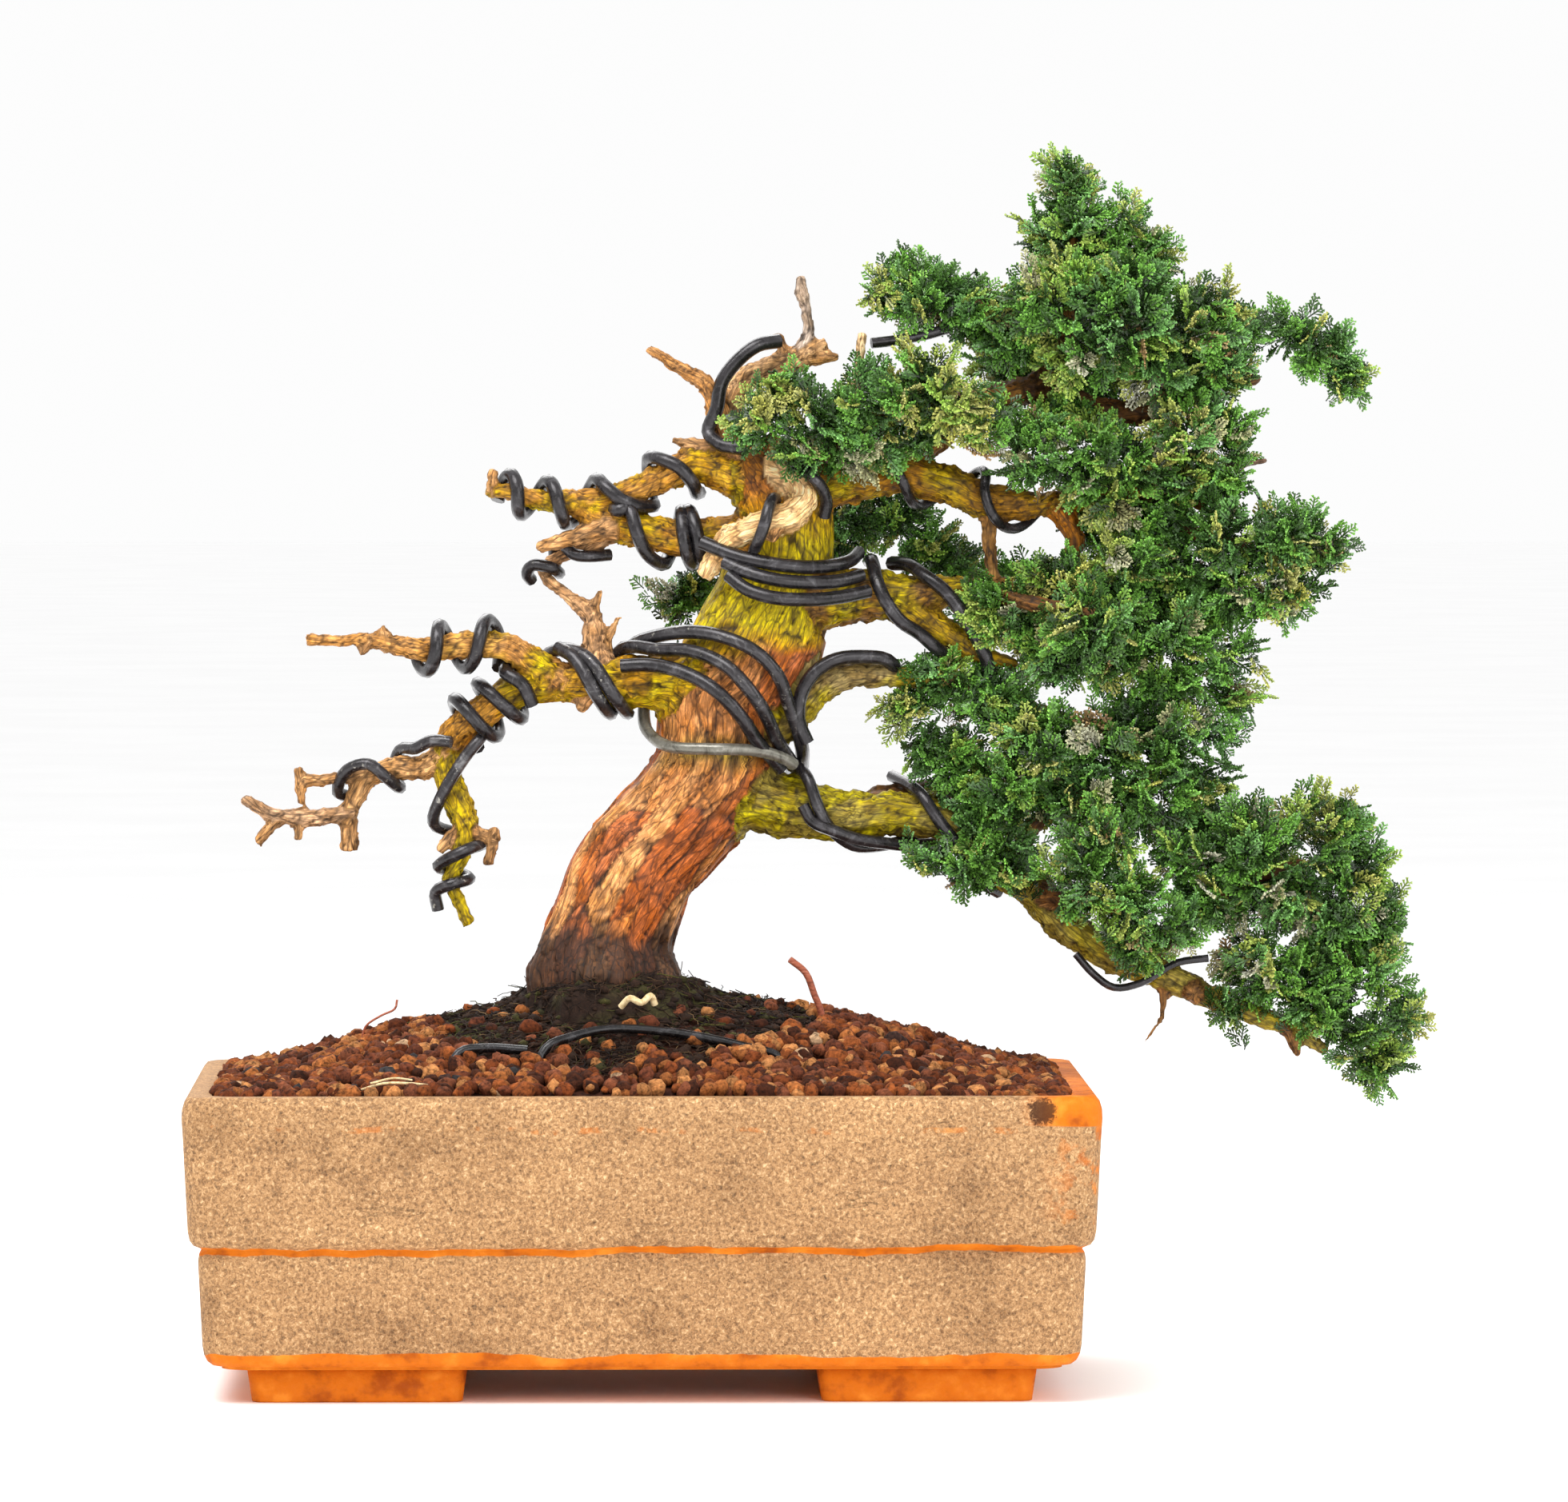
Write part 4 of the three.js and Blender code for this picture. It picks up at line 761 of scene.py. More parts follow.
leader = [
    [100, -2, 401, 8], [116, 2, 409, 8.5], [132, 5, 420, 8.5], [144, 6, 433, 8], [162, 6, 437, 7.5],
    [178, 5, 442, 7], [189, 3, 456, 5.5], [190, 1, 479, 4.5], [192, 0, 507, 3.5], [192, 0, 530, 2.4],
]
crown_right = [
    [174, 5, 440, 6.5], [206, 2, 430, 7], [224, 0, 429, 6], [246, -2, 437, 4], [276, -4, 446, 3],
]
crown_left = [[188, 3, 462, 5], [162, 2, 474, 3.5], [142, 0, 480, 3], [120, -2, 483, 2.5]]
pad_carrier = [
    [64, -6, 400, 9], [78, -16, 412, 6], [92, -22, 422, 5], [112, -26, 428, 4], [134, -32, 432, 3],
]
pale_peg = [[92, -22, 422, 4.5], [96, -20, 440, 4], [97, -19, 452, 2.8], [98, -19, 466, 2.8]]
tail_carrier = [[222, -10, 184, 6], [244, -13, 206, 4.5], [268, -16, 222, 4], [296, -16, 230, 3]]
low_carrier = [[168, -10, 226, 6], [172, -12, 244, 4.5], [186, -14, 258, 4], [214, -14, 264, 3]]
tuft_carrier = [[52, 18, 332, 7], [38, 30, 338, 4], [26, 34, 344, 2.6]]
grey_twig = [[247, -5, 391, 4], [254, -5, 404, 3], [266, -6, 407, 2], [279, -7, 409, 2]]
back_high = [[116, 2, 410, 6], [142, 30, 424, 4.5], [176, 52, 440, 3.5], [206, 60, 446, 3]]
back_middle = [[90, 4, 348, 9], [116, 30, 352, 5.5], [152, 52, 352, 4], [196, 60, 348, 3]]
back_low = [[104, -4, 256, 8], [134, 22, 262, 5.5], [170, 42, 262, 4], [212, 50, 250, 3]]
front_middle = [[150, -8, 350, 5], [172, -34, 346, 4], [204, -50, 340, 3]]
front_low = [[178, -12, 216, 6], [194, -32, 214, 4], [212, -44, 210, 3]]
right_high = [[226, -5, 394, 4], [246, -12, 376, 3.5], [280, -12, 370, 3]]

stubs = [
    [[-24, -9, 304, 4.5], [-27, -10, 297, 3]],
    [[-113, -17, 327, 3.5], [-115, -17, 336, 2.4]],
    [[-120, -18, 329, 3], [-124, -19, 322, 2.4]],
    [[-160, 1, 250, 3.5], [-171, 0, 239, 3]],
    [[-152, 2, 249, 3], [-153, 2, 239, 2.6]],
    [[-130, 3, 250, 4.5], [-130, 3, 235, 5]],
    [[-119, 2, 269, 4], [-150, 2, 266, 3]],
    [[-152, 2, 272.5, 3], [-151, 2, 257, 3]],
    [[-84, -8, 243, 3.5], [-90, -9, 235, 3]],
    [[-77, -8, 245, 4], [-66, -9, 241, 3]],
    [[-64, -9, 246, 3], [-68, -9, 229, 3.4]],
    [[-21, 0, 338, 3], [-18, 0, 352, 1.8]],
    [[-16, -3, 326, 3], [-9, -3, 340, 1.6]],
    [[-65, -2, 405, 3], [-67, -2, 392, 3.4]],
    [[-14, -3, 379, 6], [-46, -5, 370, 3.4]],
    [[62, -29, 383, 3.5], [58, -33, 373, 2.6]],
    [[36, 0, 415, 4], [14, 1, 418, 2.4]],
    [[72, 3, 454, 5], [89, 1, 455, 2.4]],
    [[66, 3, 453, 3.4], [61, 3, 466, 2.6]],
    [[286, -12, 158, 3.6], [293, -14, 144, 2.4]],
    [[246, -10, 173, 5], [246, -20, 172, 5]],
    [[233, -10, 178, 3], [232, -12, 160, 1.6]],
    [[232, -12, 161, 1.6], [224, -13, 150, 1.3]],
]

limbs = {
    "trunk": trunk, "low_left": low_left, "upper_fork": upper_fork, "lower_fork": lower_fork,
    "claw_arm": claw_arm, "claw_finger": claw_finger, "drooping_arm": drooping_arm,
    "hooked_twig": hooked_twig, "high_left": high_left, "loop_arm": loop_arm,
    "peeled_stub": peeled_stub, "top_left_jin": top_left_jin, "top_right_jin": top_right_jin,
    "top_spike": top_spike, "low_right": low_right, "mid_right": mid_right,
    "shoulder_right": shoulder_right, "shoulder_fork": shoulder_fork, "high_right": high_right,
    "cross_twig": cross_twig, "drop_twig": drop_twig, "leader": leader, "crown_right": crown_right,
    "crown_left": crown_left, "pad_carrier": pad_carrier, "pale_peg": pale_peg,
    "tail_carrier": tail_carrier, "low_carrier": low_carrier, "tuft_carrier": tuft_carrier,
    "grey_twig": grey_twig, "back_high": back_high, "back_middle": back_middle,
    "back_low": back_low, "front_middle": front_middle, "front_low": front_low,
    "right_high": right_high,
}
for number, stub in enumerate(stubs):
    limbs[f"stub_{number}"] = stub
print("limbs", len(limbs))


# %% Curves through points
def smooth_line(points, shares):
    """A centripetal Catmull-Rom curve through points, at shares of its point list (0 to 1)."""
    points = np.asarray(points, float)
    padded = np.vstack([2 * points[0] - points[1], points, 2 * points[-1] - points[-2]])
    places = np.clip(np.asarray(shares, float), 0, 1) * (len(points) - 1)
    result = []
    for value in places:
        start = min(int(value), len(points) - 2)
        share = value - start
        p0, p1, p2, p3 = padded[start:start + 4]
        d0, d1, d2 = (max(np.linalg.norm(b - a), 1e-6) ** 0.5 for a, b in ((p0, p1), (p1, p2), (p2, p3)))
        leave = ((p1 - p0) / d0 - (p2 - p0) / (d0 + d1) + (p2 - p1) / d1) * d1
        arrive = ((p2 - p1) / d1 - (p3 - p1) / (d1 + d2) + (p3 - p2) / d2) * d1
        cubic = 2 * p1 - 2 * p2 + leave + arrive
        square = -3 * p1 + 3 * p2 - 2 * leave - arrive
        result.append(p1 + leave * share + square * share ** 2 + cubic * share ** 3)
    return np.array(result)


def along_limb(limb, index):
    """Centre, direction and radius of a limb at a fractional index along its list."""
    points = [point[:3] for point in limb]
    last = len(limb) - 1
    share = index / last
    before, centre, after = smooth_line(points, [share - 0.002, share, share + 0.002])
    low = min(int(max(index, 0)), last - 1)
    radius = limb[low][3] + (limb[low + 1][3] - limb[low][3]) * (index - low)
    return centre, (after - before) / np.linalg.norm(after - before), radius


# %% [markdown]
# ## Bark
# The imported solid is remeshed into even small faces. Every point then finds its nearest centre
# line, which gives a flow coordinate: around and along the growth. Plates and fissures are
# pressed into the mesh along that flow, and a tone is stored for the part of the tree it is on:
# wet and dark at the base, orange above, lichen yellow on the shoulders, cream where peeled.

# %% Bark mesh
SAMPLES_PER_SPAN = 6
BARK_VOXEL = 1.5

line_points, line_frames, line_radii, line_names, line_runs = [], [], [], [], []
for name, limb in limbs.items():
    steps = SAMPLES_PER_SPAN * (len(limb) - 1) + 1
    indices = np.linspace(0, len(limb) - 1, steps)
    centres = smooth_line([p[:3] for p in limb], indices / (len(limb) - 1))
    directions = np.gradient(centres, axis=0)
    directions /= np.linalg.norm(directions, axis=1)[:, None]
    runs = np.concatenate([[0], np.cumsum(np.linalg.norm(np.diff(centres, axis=0), axis=1))])
    across = np.array([0.0, -1.0, 0.0])
    for index, centre, direction, run in zip(indices, centres, directions, runs):
        across = across - direction * across.dot(direction)
        across = across / np.linalg.norm(across)
        low = min(int(index), len(limb) - 2)
        line_points.append(centre)
        line_frames.append((direction, across, np.cross(direction, across)))
        line_radii.append(limb[low][3] + (limb[low + 1][3] - limb[low][3]) * (index - low))
        line_names.append(name)
        line_runs.append(run)
line_points = np.array(line_points)
line_radii = np.array(line_radii)


def nearest_lines(places):
    """For each point in mm, the sample whose surface it lies closest to."""
    best = np.full(len(places), -1)
    nearest = np.full(len(places), 1e9)
    for number, (centre, radius) in enumerate(zip(line_points, line_radii)):
        distance = np.abs(np.linalg.norm(places - centre, axis=1) - radius)
        distance += 0.35 * np.linalg.norm(places - centre, axis=1)
        closer = distance < nearest
        nearest[closer] = distance[closer]
        best[closer] = number
    return best


bark_tones = {
    "trunk": "#B36C3E", "low_left": "#C49A56", "upper_fork": "#C6986A", "lower_fork": "#C2935A",
    "claw_arm": "#C8A078", "claw_finger": "#C4A284", "drooping_arm": "#B8A04E",
    "hooked_twig": "#BD9877", "high_left": "#B98C58", "loop_arm": "#B68A52", "peeled_stub": "#F2CCA0",
    "top_left_jin": "#C4966C", "top_right_jin": "#C6A27E", "top_spike": "#B8A799",
    "low_right": "#94864C", "mid_right": "#8E7E58", "shoulder_right": "#8A6A44",
    "shoulder_fork": "#957A35", "high_right": "#8E6A3A", "pale_peg": "#D9BC98", "leader": "#7C5C3A",
    "grey_twig": "#8C7466", "cross_twig": "#94724E", "drop_twig": "#9C6B40",
}
INNER_TONE = "#6B4E34"
trunk_shades = ["#AE7050", "#C08A64", "#A4664A", "#BC7F5A", "#CA9870", "#B07256"]
LICHEN = np.array(linear("#B8AC16")[:3])
MOSS = np.array(linear("#5E6E1E")[:3])
WET = np.array(linear("#35261F")[:3])
CRACK = np.array(linear("#2A1A10")[:3])
PALEST_WOOD = linear("#F6E4CC")


def parent_tone(name, place_mm):
    """Small snags take the tone of the dead wood around them."""
    if name in bark_tones:
        return bark_tones[name]
    if name.startswith("stub_"):
        return "#BC9570" if place_mm[0] < 100 else "#8A6848"
    return INNER_TONE


def grow_bark(material):
    wood = node_copy("trunk_and_branches")
    data = bpy.data.meshes.new("bark")
    wood.to_mesh(data)
    wood.free()
    piece = bpy.data.objects.new("bark", data)
    bpy.context.scene.collection.objects.link(piece)
    remesh = piece.modifiers.new("even_faces", "REMESH")
    remesh.mode = "VOXEL"
    remesh.voxel_size = BARK_VOXEL * MM
    settled(piece)
    mesh = bmesh.new()
    mesh.from_mesh(piece.data)
    for _ in range(3):
        bmesh.ops.smooth_vert(mesh, verts=mesh.verts, factor=0.5, use_axis_x=True, use_axis_y=True,
                              use_axis_z=True)
    mesh.normal_update()
    bpy.data.objects.remove(piece)
    places = np.array([v.co for v in mesh.verts]) / MM - np.array([POT_MIDDLE_X / MM, POT_MIDDLE_Y / MM, 0])
    lines = nearest_lines(places)
    flows, tones = [], []
    for vertex, place_mm, number in zip(mesh.verts, places, lines):
        direction, across, aside = line_frames[number]
        name = line_names[number]
        radius = line_radii[number]
        offset = place_mm - line_points[number]
        run = line_runs[number] + offset.dot(direction)
        angle = math.atan2(offset.dot(aside), offset.dot(across))
        seed = 31.0 * (sum(map(ord, name)) % 17)
        flow = Vector((radius * math.cos(angle), radius * math.sin(angle), run + seed))
        twist = Vector((flow.x, flow.y, flow.z * (0.1 if name == "trunk" else 0.2)))
        is_trunk = name == "trunk"
        size = 11 if is_trunk else max(2.6, 0.6 * radius)
        warp = noise.noise_vector(Vector(place_mm) / (2.4 * size)) * 0.55
        (near, next_near, *_), (cell, *_) = noise.voronoi(twist / size + warp)
        fine = abs(noise.noise(twist / (0.34 * size) + Vector((9, 4, warp.x))))
        smooth_wood = name == "peeled_stub"
        crack = max(0.0, 1 - (next_near - near) / 0.08) + max(0.0, 1 - fine / 0.09) * 0.3
        plate = noise.cell(cell * 17.3)
        lump = noise.noise(Vector(place_mm) / (1.7 * size))
        wrinkle = noise.noise(Vector((flow.x / 5, flow.y / 5, flow.z / 1.6)))
        depth = 1.5 if is_trunk else 0.12 * radius + 0.15
        if smooth_wood:
            crack *= 0.2
        rise = 0.9 * depth * lump + 0.55 * depth * plate - depth * crack
        if not is_trunk and not smooth_wood:
            rise += 0.3 * wrinkle + 0.5 * noise.noise(Vector(place_mm) / 3.1)
        vertex.co += vertex.normal * MM * rise
        flows.append([c * MM for c in flow])
        colour = np.array(linear(parent_tone(name, place_mm))[:3])
        blotch = noise.noise(Vector(place_mm) / 17)
        speck = noise.noise(Vector(place_mm) / 4.2)
        x, y, z = place_mm
        if is_trunk:
            shade = trunk_shades[int((0.5 + 0.5 * plate) * len(trunk_shades)) % len(trunk_shades)]
            colour = np.array(linear(shade)[:3]) * (1 + 0.25 * blotch)
            lichen = np.clip((z - 322) / 16 + 0.9 * blotch, 0, 1) * np.clip((398 - z) / 26, 0, 1)
            ring = max(0.0, 1 - abs(z - 279) / 11) * np.clip(0.4 + 1.6 * blotch + (x - 30) / 60, 0, 1)
            side = np.clip((x - 52) / 14 + blotch, 0, 1) * np.clip((z - 250) / 20, 0, 1) * (z < 300)
            mixed = max(0.85 * lichen, 0.7 * ring, 0.5 * side)
            colour = colour * (1 - mixed) + (LICHEN if z > 318 else MOSS) * mixed
            top = np.clip((z - 392) / 10, 0, 1)
            colour = colour * (1 - top) + np.array(linear("#7A5330")[:3]) * top
            wet = np.clip((203 - z) / 6 + 1.6 * noise.noise(Vector((flow.x / 7, flow.y / 7, z / 40))), 0, 1)
            colour = colour * (1 - 0.92 * wet) + WET * 0.92 * wet
        elif name in ("low_left", "upper_fork", "lower_fork", "drooping_arm", "loop_arm", "high_left",
                      "low_right", "mid_right", "shoulder_fork", "shoulder_right", "high_right"):
            near = np.clip(1 - abs(x + 20) / 90, 0, 1) if x < 40 else np.clip(1 - (x - 60) / 130, 0.2, 1)
            amount = np.clip((0.25 + 1.5 * blotch) * near + 0.5 * speck * near, 0, 0.75)
            colour = colour * (1 - amount) + LICHEN * amount
        elif not smooth_wood:
            colour = colour * (1 + 0.35 * blotch + 0.2 * plate)
        darkness = min(0.88, crack * (0.9 if not smooth_wood else 0.4))
        if not is_trunk and not smooth_wood:
            darkness = min(0.9, darkness + 0.55 * max(0.0, -wrinkle - 0.12))
        colour = colour * (1 - darkness) + CRACK * darkness
        colour = colour * (1 + 0.22 * speck + 0.12 * noise.noise(twist / 2.1))
        tones.append([*np.clip(colour, 0, 1), 1])
    data = bpy.data.meshes.new("bark")
    mesh.to_mesh(data)
    mesh.free()
    colour_layer(data, "tone", tones)
    layer = data.attributes.new("flow", "FLOAT_VECTOR", "POINT")
    layer.data.foreach_set("vector", np.asarray(flows, dtype=np.float32).ravel())
    return finished("bark", data, material, ["trunk_and_branches"])


def living_bark():
    """Conifer bark: long flaking strips, dry and matt, with dark seams between them."""
    material, shader = new_material("flaking_conifer_bark")
    tone = add_node(material, "ShaderNodeVertexColor", layer_name="tone").outputs["Color"]
    flow = add_node(material, "ShaderNodeAttribute", attribute_name="flow").outputs["Vector"]
    strips = stretched(material, flow, (1, 1, 0.18))
    fibre = cloudy(material, strips, 1.5, 6, 0.7, 0.4)
    point = object_point(material)
    flakes = cells(material, stretched(material, flow, (1, 1, 0.3)), 4.0, "DISTANCE_TO_EDGE").outputs["Distance"]
    grain = colour_steps(material, fibre, (0.32, "#4A4440"), (0.46, "#A8A6A4"), (0.62, "#FFFFFF"))
    base = blend_colours(material, 0.85, tone, grain, "MULTIPLY")
    seams = colour_steps(material, flakes, (0.0, "#2E221A"), (0.1, "#FFFFFF"))
    base = blend_colours(material, 0.6, base, seams, "MULTIPLY")
    warm = colour_steps(material, cloudy(material, point, 7, 4), (0.35, "#D8CFC4"), (0.65, "#FFFFFF"))
    base = blend_colours(material, 1.0, base, warm, "MULTIPLY")
    lifted = add_node(material, "ShaderNodeHueSaturation", [("Color", base)], Saturation=1.16, Value=2.05)
    capped = blend_colours(material, 1.0, lifted.outputs["Color"], PALEST_WOOD, "DARKEN")
    link(material, capped, shader.inputs["Base Color"])
    rough = colour_steps(material, fibre, (0.3, "#B0B0B0"), (0.7, "#E8E8E8"))
    link(material, rough, shader.inputs["Roughness"])
    shader.inputs["Specular IOR Level"].default_value = 0.3
    first = relief(material, shader, fibre, 0.7, 0.8)
    relief(material, shader, flakes, 0.6, 0.5, first)
    return material


bark = grow_bark(living_bark())
print("bark faces", len(bark.data.polygons))

# %% [markdown]
# ## Training wires
# Black anodised aluminium wire, wound by hand. A coil's turns come from a loop around its
# branch, and a wire that crosses from branch to branch follows a few chosen points. Each line is
# lifted until it lies on the bark, and is then drawn as a round tube with filled ends.

# %% Wires
HEAVY = 3.2
MEDIUM = 2.8
LIGHT = 2.4
FINE = 1.7
ANCHOR_RADIUS = 2.1
GAP = 0.3
COIL_STEP = 45
POINTS_PER_SPAN = 4


def coil(limb, keys, radius):
    """Points of a coil through keys of (index along the limb, turn in degrees)."""
    points = []
    for number, (start, end) in enumerate(zip(keys, keys[1:])):
        steps = max(1, round(abs(end[1] - start[1]) / COIL_STEP))
        for step in range(0 if number == 0 else 1, steps + 1):
            share = step / steps
            turn = math.radians(start[1] + (end[1] - start[1]) * share)
            centre, direction, bark_radius = along_limb(limb, start[0] + (end[0] - start[0]) * share)
            front = np.array([0.0, -1.0, 0.0])
            front = front - direction * front.dot(direction)
            front /= np.linalg.norm(front)
            top = np.cross(direction, front)
            reach = bark_radius + radius + GAP
            points.append(centre + reach * (front * math.cos(turn) + top * math.sin(turn)))
    return points


def lifted_from_wood(points, radius):
    """Pushes a wire's line out of the wood until the wire lies on the bark."""
    starts, ends, first, last, swell = [], [], [], [], []
    for name, limb in limbs.items():
        for a, b in zip(limb, limb[1:]):
            starts.append(a[:3])
            ends.append(b[:3])
            first.append(a[3])
            last.append(b[3])
            swell.append(1.05 if name == "trunk" else 1.02)
    lifted = []
    for point in points:
        point = np.array(point, float)
        for _ in range(3):
            for a, b, near, far, swollen in zip(starts, ends, first, last, swell):
                a, b = np.array(a, float), np.array(b, float)
                share = np.clip((point - a).dot(b - a) / (b - a).dot(b - a), 0, 1)
                nearest = a + share * (b - a)
                away = point - nearest
                distance = np.linalg.norm(away)
                wanted = (near + (far - near) * share) * swollen + radius + GAP
                if distance < wanted:
                    point = nearest + away / max(distance, 1e-6) * wanted
        lifted.append(point)
    return lifted


def free_path(*points):
    return [np.array(point, float) for point in points]


wires = {
    "wire_high_left": [HEAVY, coil(high_left, [
        [1.4, -110], [1.6, -90], [3.1, 90], [3.7, 270], [5.3, 450], [6.2, 630], [6.8, 810], [7.4, 990],
        [8.1, 1170], [8.6, 1300]], HEAVY)],
    "wire_loop_arm": [HEAVY, coil(loop_arm, [
        [1.7, -810], [2.2, -630], [3, -270], [3.4, -90], [5, 90], [5.6, 190]], HEAVY)],
    "wire_hooked_twig": [MEDIUM, coil(hooked_twig, [
        [4.6, -120], [5.4, 90], [6.2, 290], [7.6, 440]], MEDIUM)],
    "wire_left_tip": [HEAVY, coil(upper_fork, [
        [1.8, 250], [2.45, 90], [3, -90], [3.5, -270], [3.9, -450], [4.2, -560]], HEAVY)],
    "wire_fork": [HEAVY, coil(lower_fork, [
        [0.55, -40], [1, 200], [2, 560], [2.9, 900], [3.1, 980]], HEAVY)],
    "wire_drooping_arm": [MEDIUM, free_path(
        [-70, 4, 292], [-72, -10, 288], [-78, -14, 277], [-87, -14, 261], [-92, -8, 248], [-83, 4, 243],
        [-70, -2, 239], [-78, -15, 236], [-89, -9, 230], [-84, 1, 226], [-76, -6, 223], [-84, -13, 221],
        [-91, -8, 217], [-90, -6, 209])],
    "wire_claw_arm": [MEDIUM, free_path(
        [-84, -13, 284], [-92, -10, 284], [-100, -6, 281], [-107, 4, 279], [-110, 10, 270], [-107, 1, 264],
        [-114, -7, 269], [-121, -7, 274], [-130, -3, 271], [-135, 4, 263], [-130, 10, 259])],
    "wire_trunk_upper": [HEAVY, free_path(
        [72, 6, 272], [68, -12, 287], [65, -26, 302], [60, -33, 315], [50, -34, 325], [36, -30, 331],
        [22, -22, 333], [8, -12, 331], [-4, -2, 326], [-8, 8, 314], [-7, 4, 300], [-6, -14, 297],
        [-12, -26, 305], [-22, -22, 320], [-32, -12, 325], [-42, 0, 321], [-46, 6, 310])],
    "wire_trunk_middle": [HEAVY, free_path(
        [66, -8, 272], [60, -26, 286], [54.5, -37, 298], [48, -41, 307.5], [38, -38, 318], [23, -28, 324.5],
        [8, -18, 325], [-6, -6, 321], [-14, 8, 312], [-13, 3, 300], [-14, -16, 297], [-20, -26, 306],
        [-29, -20, 321], [-38, -10, 322])],
    "wire_trunk_lower": [HEAVY, free_path(
        [59, -18, 272], [52, -32, 284], [45.5, -40, 294], [38, -43, 303], [28, -39, 311], [15, -31, 316.5],
        [3, -23, 318.5], [-8, -17, 316])],
    "wire_grey_band": [MEDIUM, free_path(
        [14, 6, 300], [6, 2, 296], [6, -10, 288], [14, -24, 282], [30, -34, 281.5], [48, -33, 281],
        [58, -28, 279], [65, -23, 276], [68, -20, 274])],
    "wire_neck_top": [HEAVY, free_path(
        [33, -21, 371], [42, -28, 368], [54, -33, 364], [68, -33, 362], [82, -27, 362], [92, -18, 364],
        [97, -6, 368])],
    "wire_neck_middle": [HEAVY, free_path(
        [37, -26, 365], [46, -33, 360], [58, -36, 356.5], [72, -35, 355], [87, -28, 355.5], [98, -20, 358])],
    "wire_neck_low": [HEAVY, free_path(
        [39, -31, 358], [47, -37, 352], [58, -40, 348.5], [73, -38, 347.5], [88, -30, 348.5],
        [101, -22, 351])],
    "wire_peeled_stub": [MEDIUM, coil(peeled_stub, [[3, 170], [3.8, 0], [4.6, -110]], MEDIUM)],
    "wire_peeled_elbow": [MEDIUM, free_path(
        [62, -16, 409], [68, -22, 406], [76, -25, 399], [80, -22, 391], [78, -14, 383])],
    "wire_top_jin": [HEAVY, free_path(
        [62, -4, 462], [52, -8, 460], [42, -8, 452], [36, -8, 443], [34, -8, 432], [31, -6, 422],
        [36, -12, 416], [46, -15, 414])],
    "wire_low_right_a": [MEDIUM, free_path(
        [64, 6, 270], [69, -8, 273], [74, -19, 268], [78, -23, 257], [84, -21, 246], [94, -14, 240],
        [106, -8, 238], [118, -2, 240], [128, 6, 243])],
    "wire_low_right_b": [MEDIUM, free_path(
        [72, -22, 256], [76, -23, 249], [85, -24, 245], [96, -21, 241], [108, -16, 239], [120, -10, 238],
        [132, -3, 240])],
    "wire_low_right_loop": [MEDIUM, free_path(
        [114, 6, 262], [119, -8, 264.5], [125, -20, 260], [131, -24, 251], [137, -23, 243], [145, -20, 234],
        [154, -13, 226], [162, -6, 220])],
    "wire_mid_right": [HEAVY, free_path(
        [74, -20, 284], [70, -22, 294], [71, -23, 305], [77, -24, 315], [87, -24, 321], [99, -22, 322],
        [109, -17, 317], [115, -12, 312])],
    "wire_shoulder_a": [HEAVY, free_path(
        [102, 4, 364], [103, -10, 363], [105, -20, 355], [109, -24, 346], [115, -23, 338], [124, -18, 332],
        [134, -12, 328], [142, -6, 325])],
    "wire_shoulder_b": [HEAVY, free_path(
        [112, 6, 363], [119, -6, 361.5], [127, -16, 357], [135, -20, 351], [142, -21, 342], [148, -20, 332],
        [153, -17, 322], [156, -12, 315])],
    "wire_high_right_a": [LIGHT, coil(high_right, [[2.1, -180], [2.8, -20], [3.9, 150]], LIGHT)],
    "wire_high_right_b": [LIGHT, coil(high_right, [[4.2, -200], [4.8, -20], [6.1, 170]], LIGHT)],
    "wire_crown_tie": [LIGHT, free_path([101, -17, 461], [112, -14, 462], [128, -10, 465], [138, -8, 468])],
    "wire_tail_loop": [FINE, free_path(
        [193, -22, 190], [201, -22, 181], [210, -22, 175], [222, -22, 177], [238, -22, 186], [252, -22, 188])],
}



def wire_piece(name, radius, points, material, node=None):
    """A round tube along a smooth line through the points."""
    steps = POINTS_PER_SPAN * (len(points) - 1) + 1
    line = smooth_line(points, np.linspace(0, 1, steps))
    curve = bpy.data.curves.new(name, "CURVE")
    curve.dimensions = "3D"
    curve.bevel_depth = radius * MM
    curve.bevel_resolution = 2
    curve.use_fill_caps = True
    spline = curve.splines.new("POLY")
    spline.points.add(len(line) - 1)
    for spot, target in zip(spline.points, line):
        spot.co = (*place(*target), 1)
    drawn = bpy.data.objects.new(name + "_line", curve)
    bpy.context.scene.collection.objects.link(drawn)
    graph = bpy.context.evaluated_depsgraph_get()
    data = bpy.data.meshes.new_from_object(drawn.evaluated_get(graph))
    bpy.data.objects.remove(drawn)
    return finished(name + "_tube", data, material, [node or name])


training_wire = wire_metal("anodised_aluminium_wire", "#181617", "#2C292B", "#585659", 0.12)
scaled_wire = wire_metal("scaled_aluminium_wire", "#181617", "#343133", "#6A6869", 0.7)
weathered_wire = wire_metal("weathered_aluminium_wire", "#4E4B42", "#77746A", "#9C9A90", 0.4)
scaled = ("wire_trunk_upper", "wire_drooping_arm", "wire_claw_arm", "wire_trunk_middle")
for name, (radius, points) in wires.items():
    material = scaled_wire if name in scaled else training_wire
    slot = "training_wire"
    if name == "wire_grey_band":
        material, slot = weathered_wire, "weathered_wire"
    wire_piece(name, radius, lifted_from_wood(points, radius), material)
print("wires", len(wires))

# %% [markdown]
# ## Anchor wires
# Two wires come up through the pot's tie holes and over the soil, to hold the root ball while
# it takes hold. They are thin and shiny where the soil has rubbed them.

# %% Anchor wires
TIE_HOLE_X = 40
TIE_HOLE_Y = 45


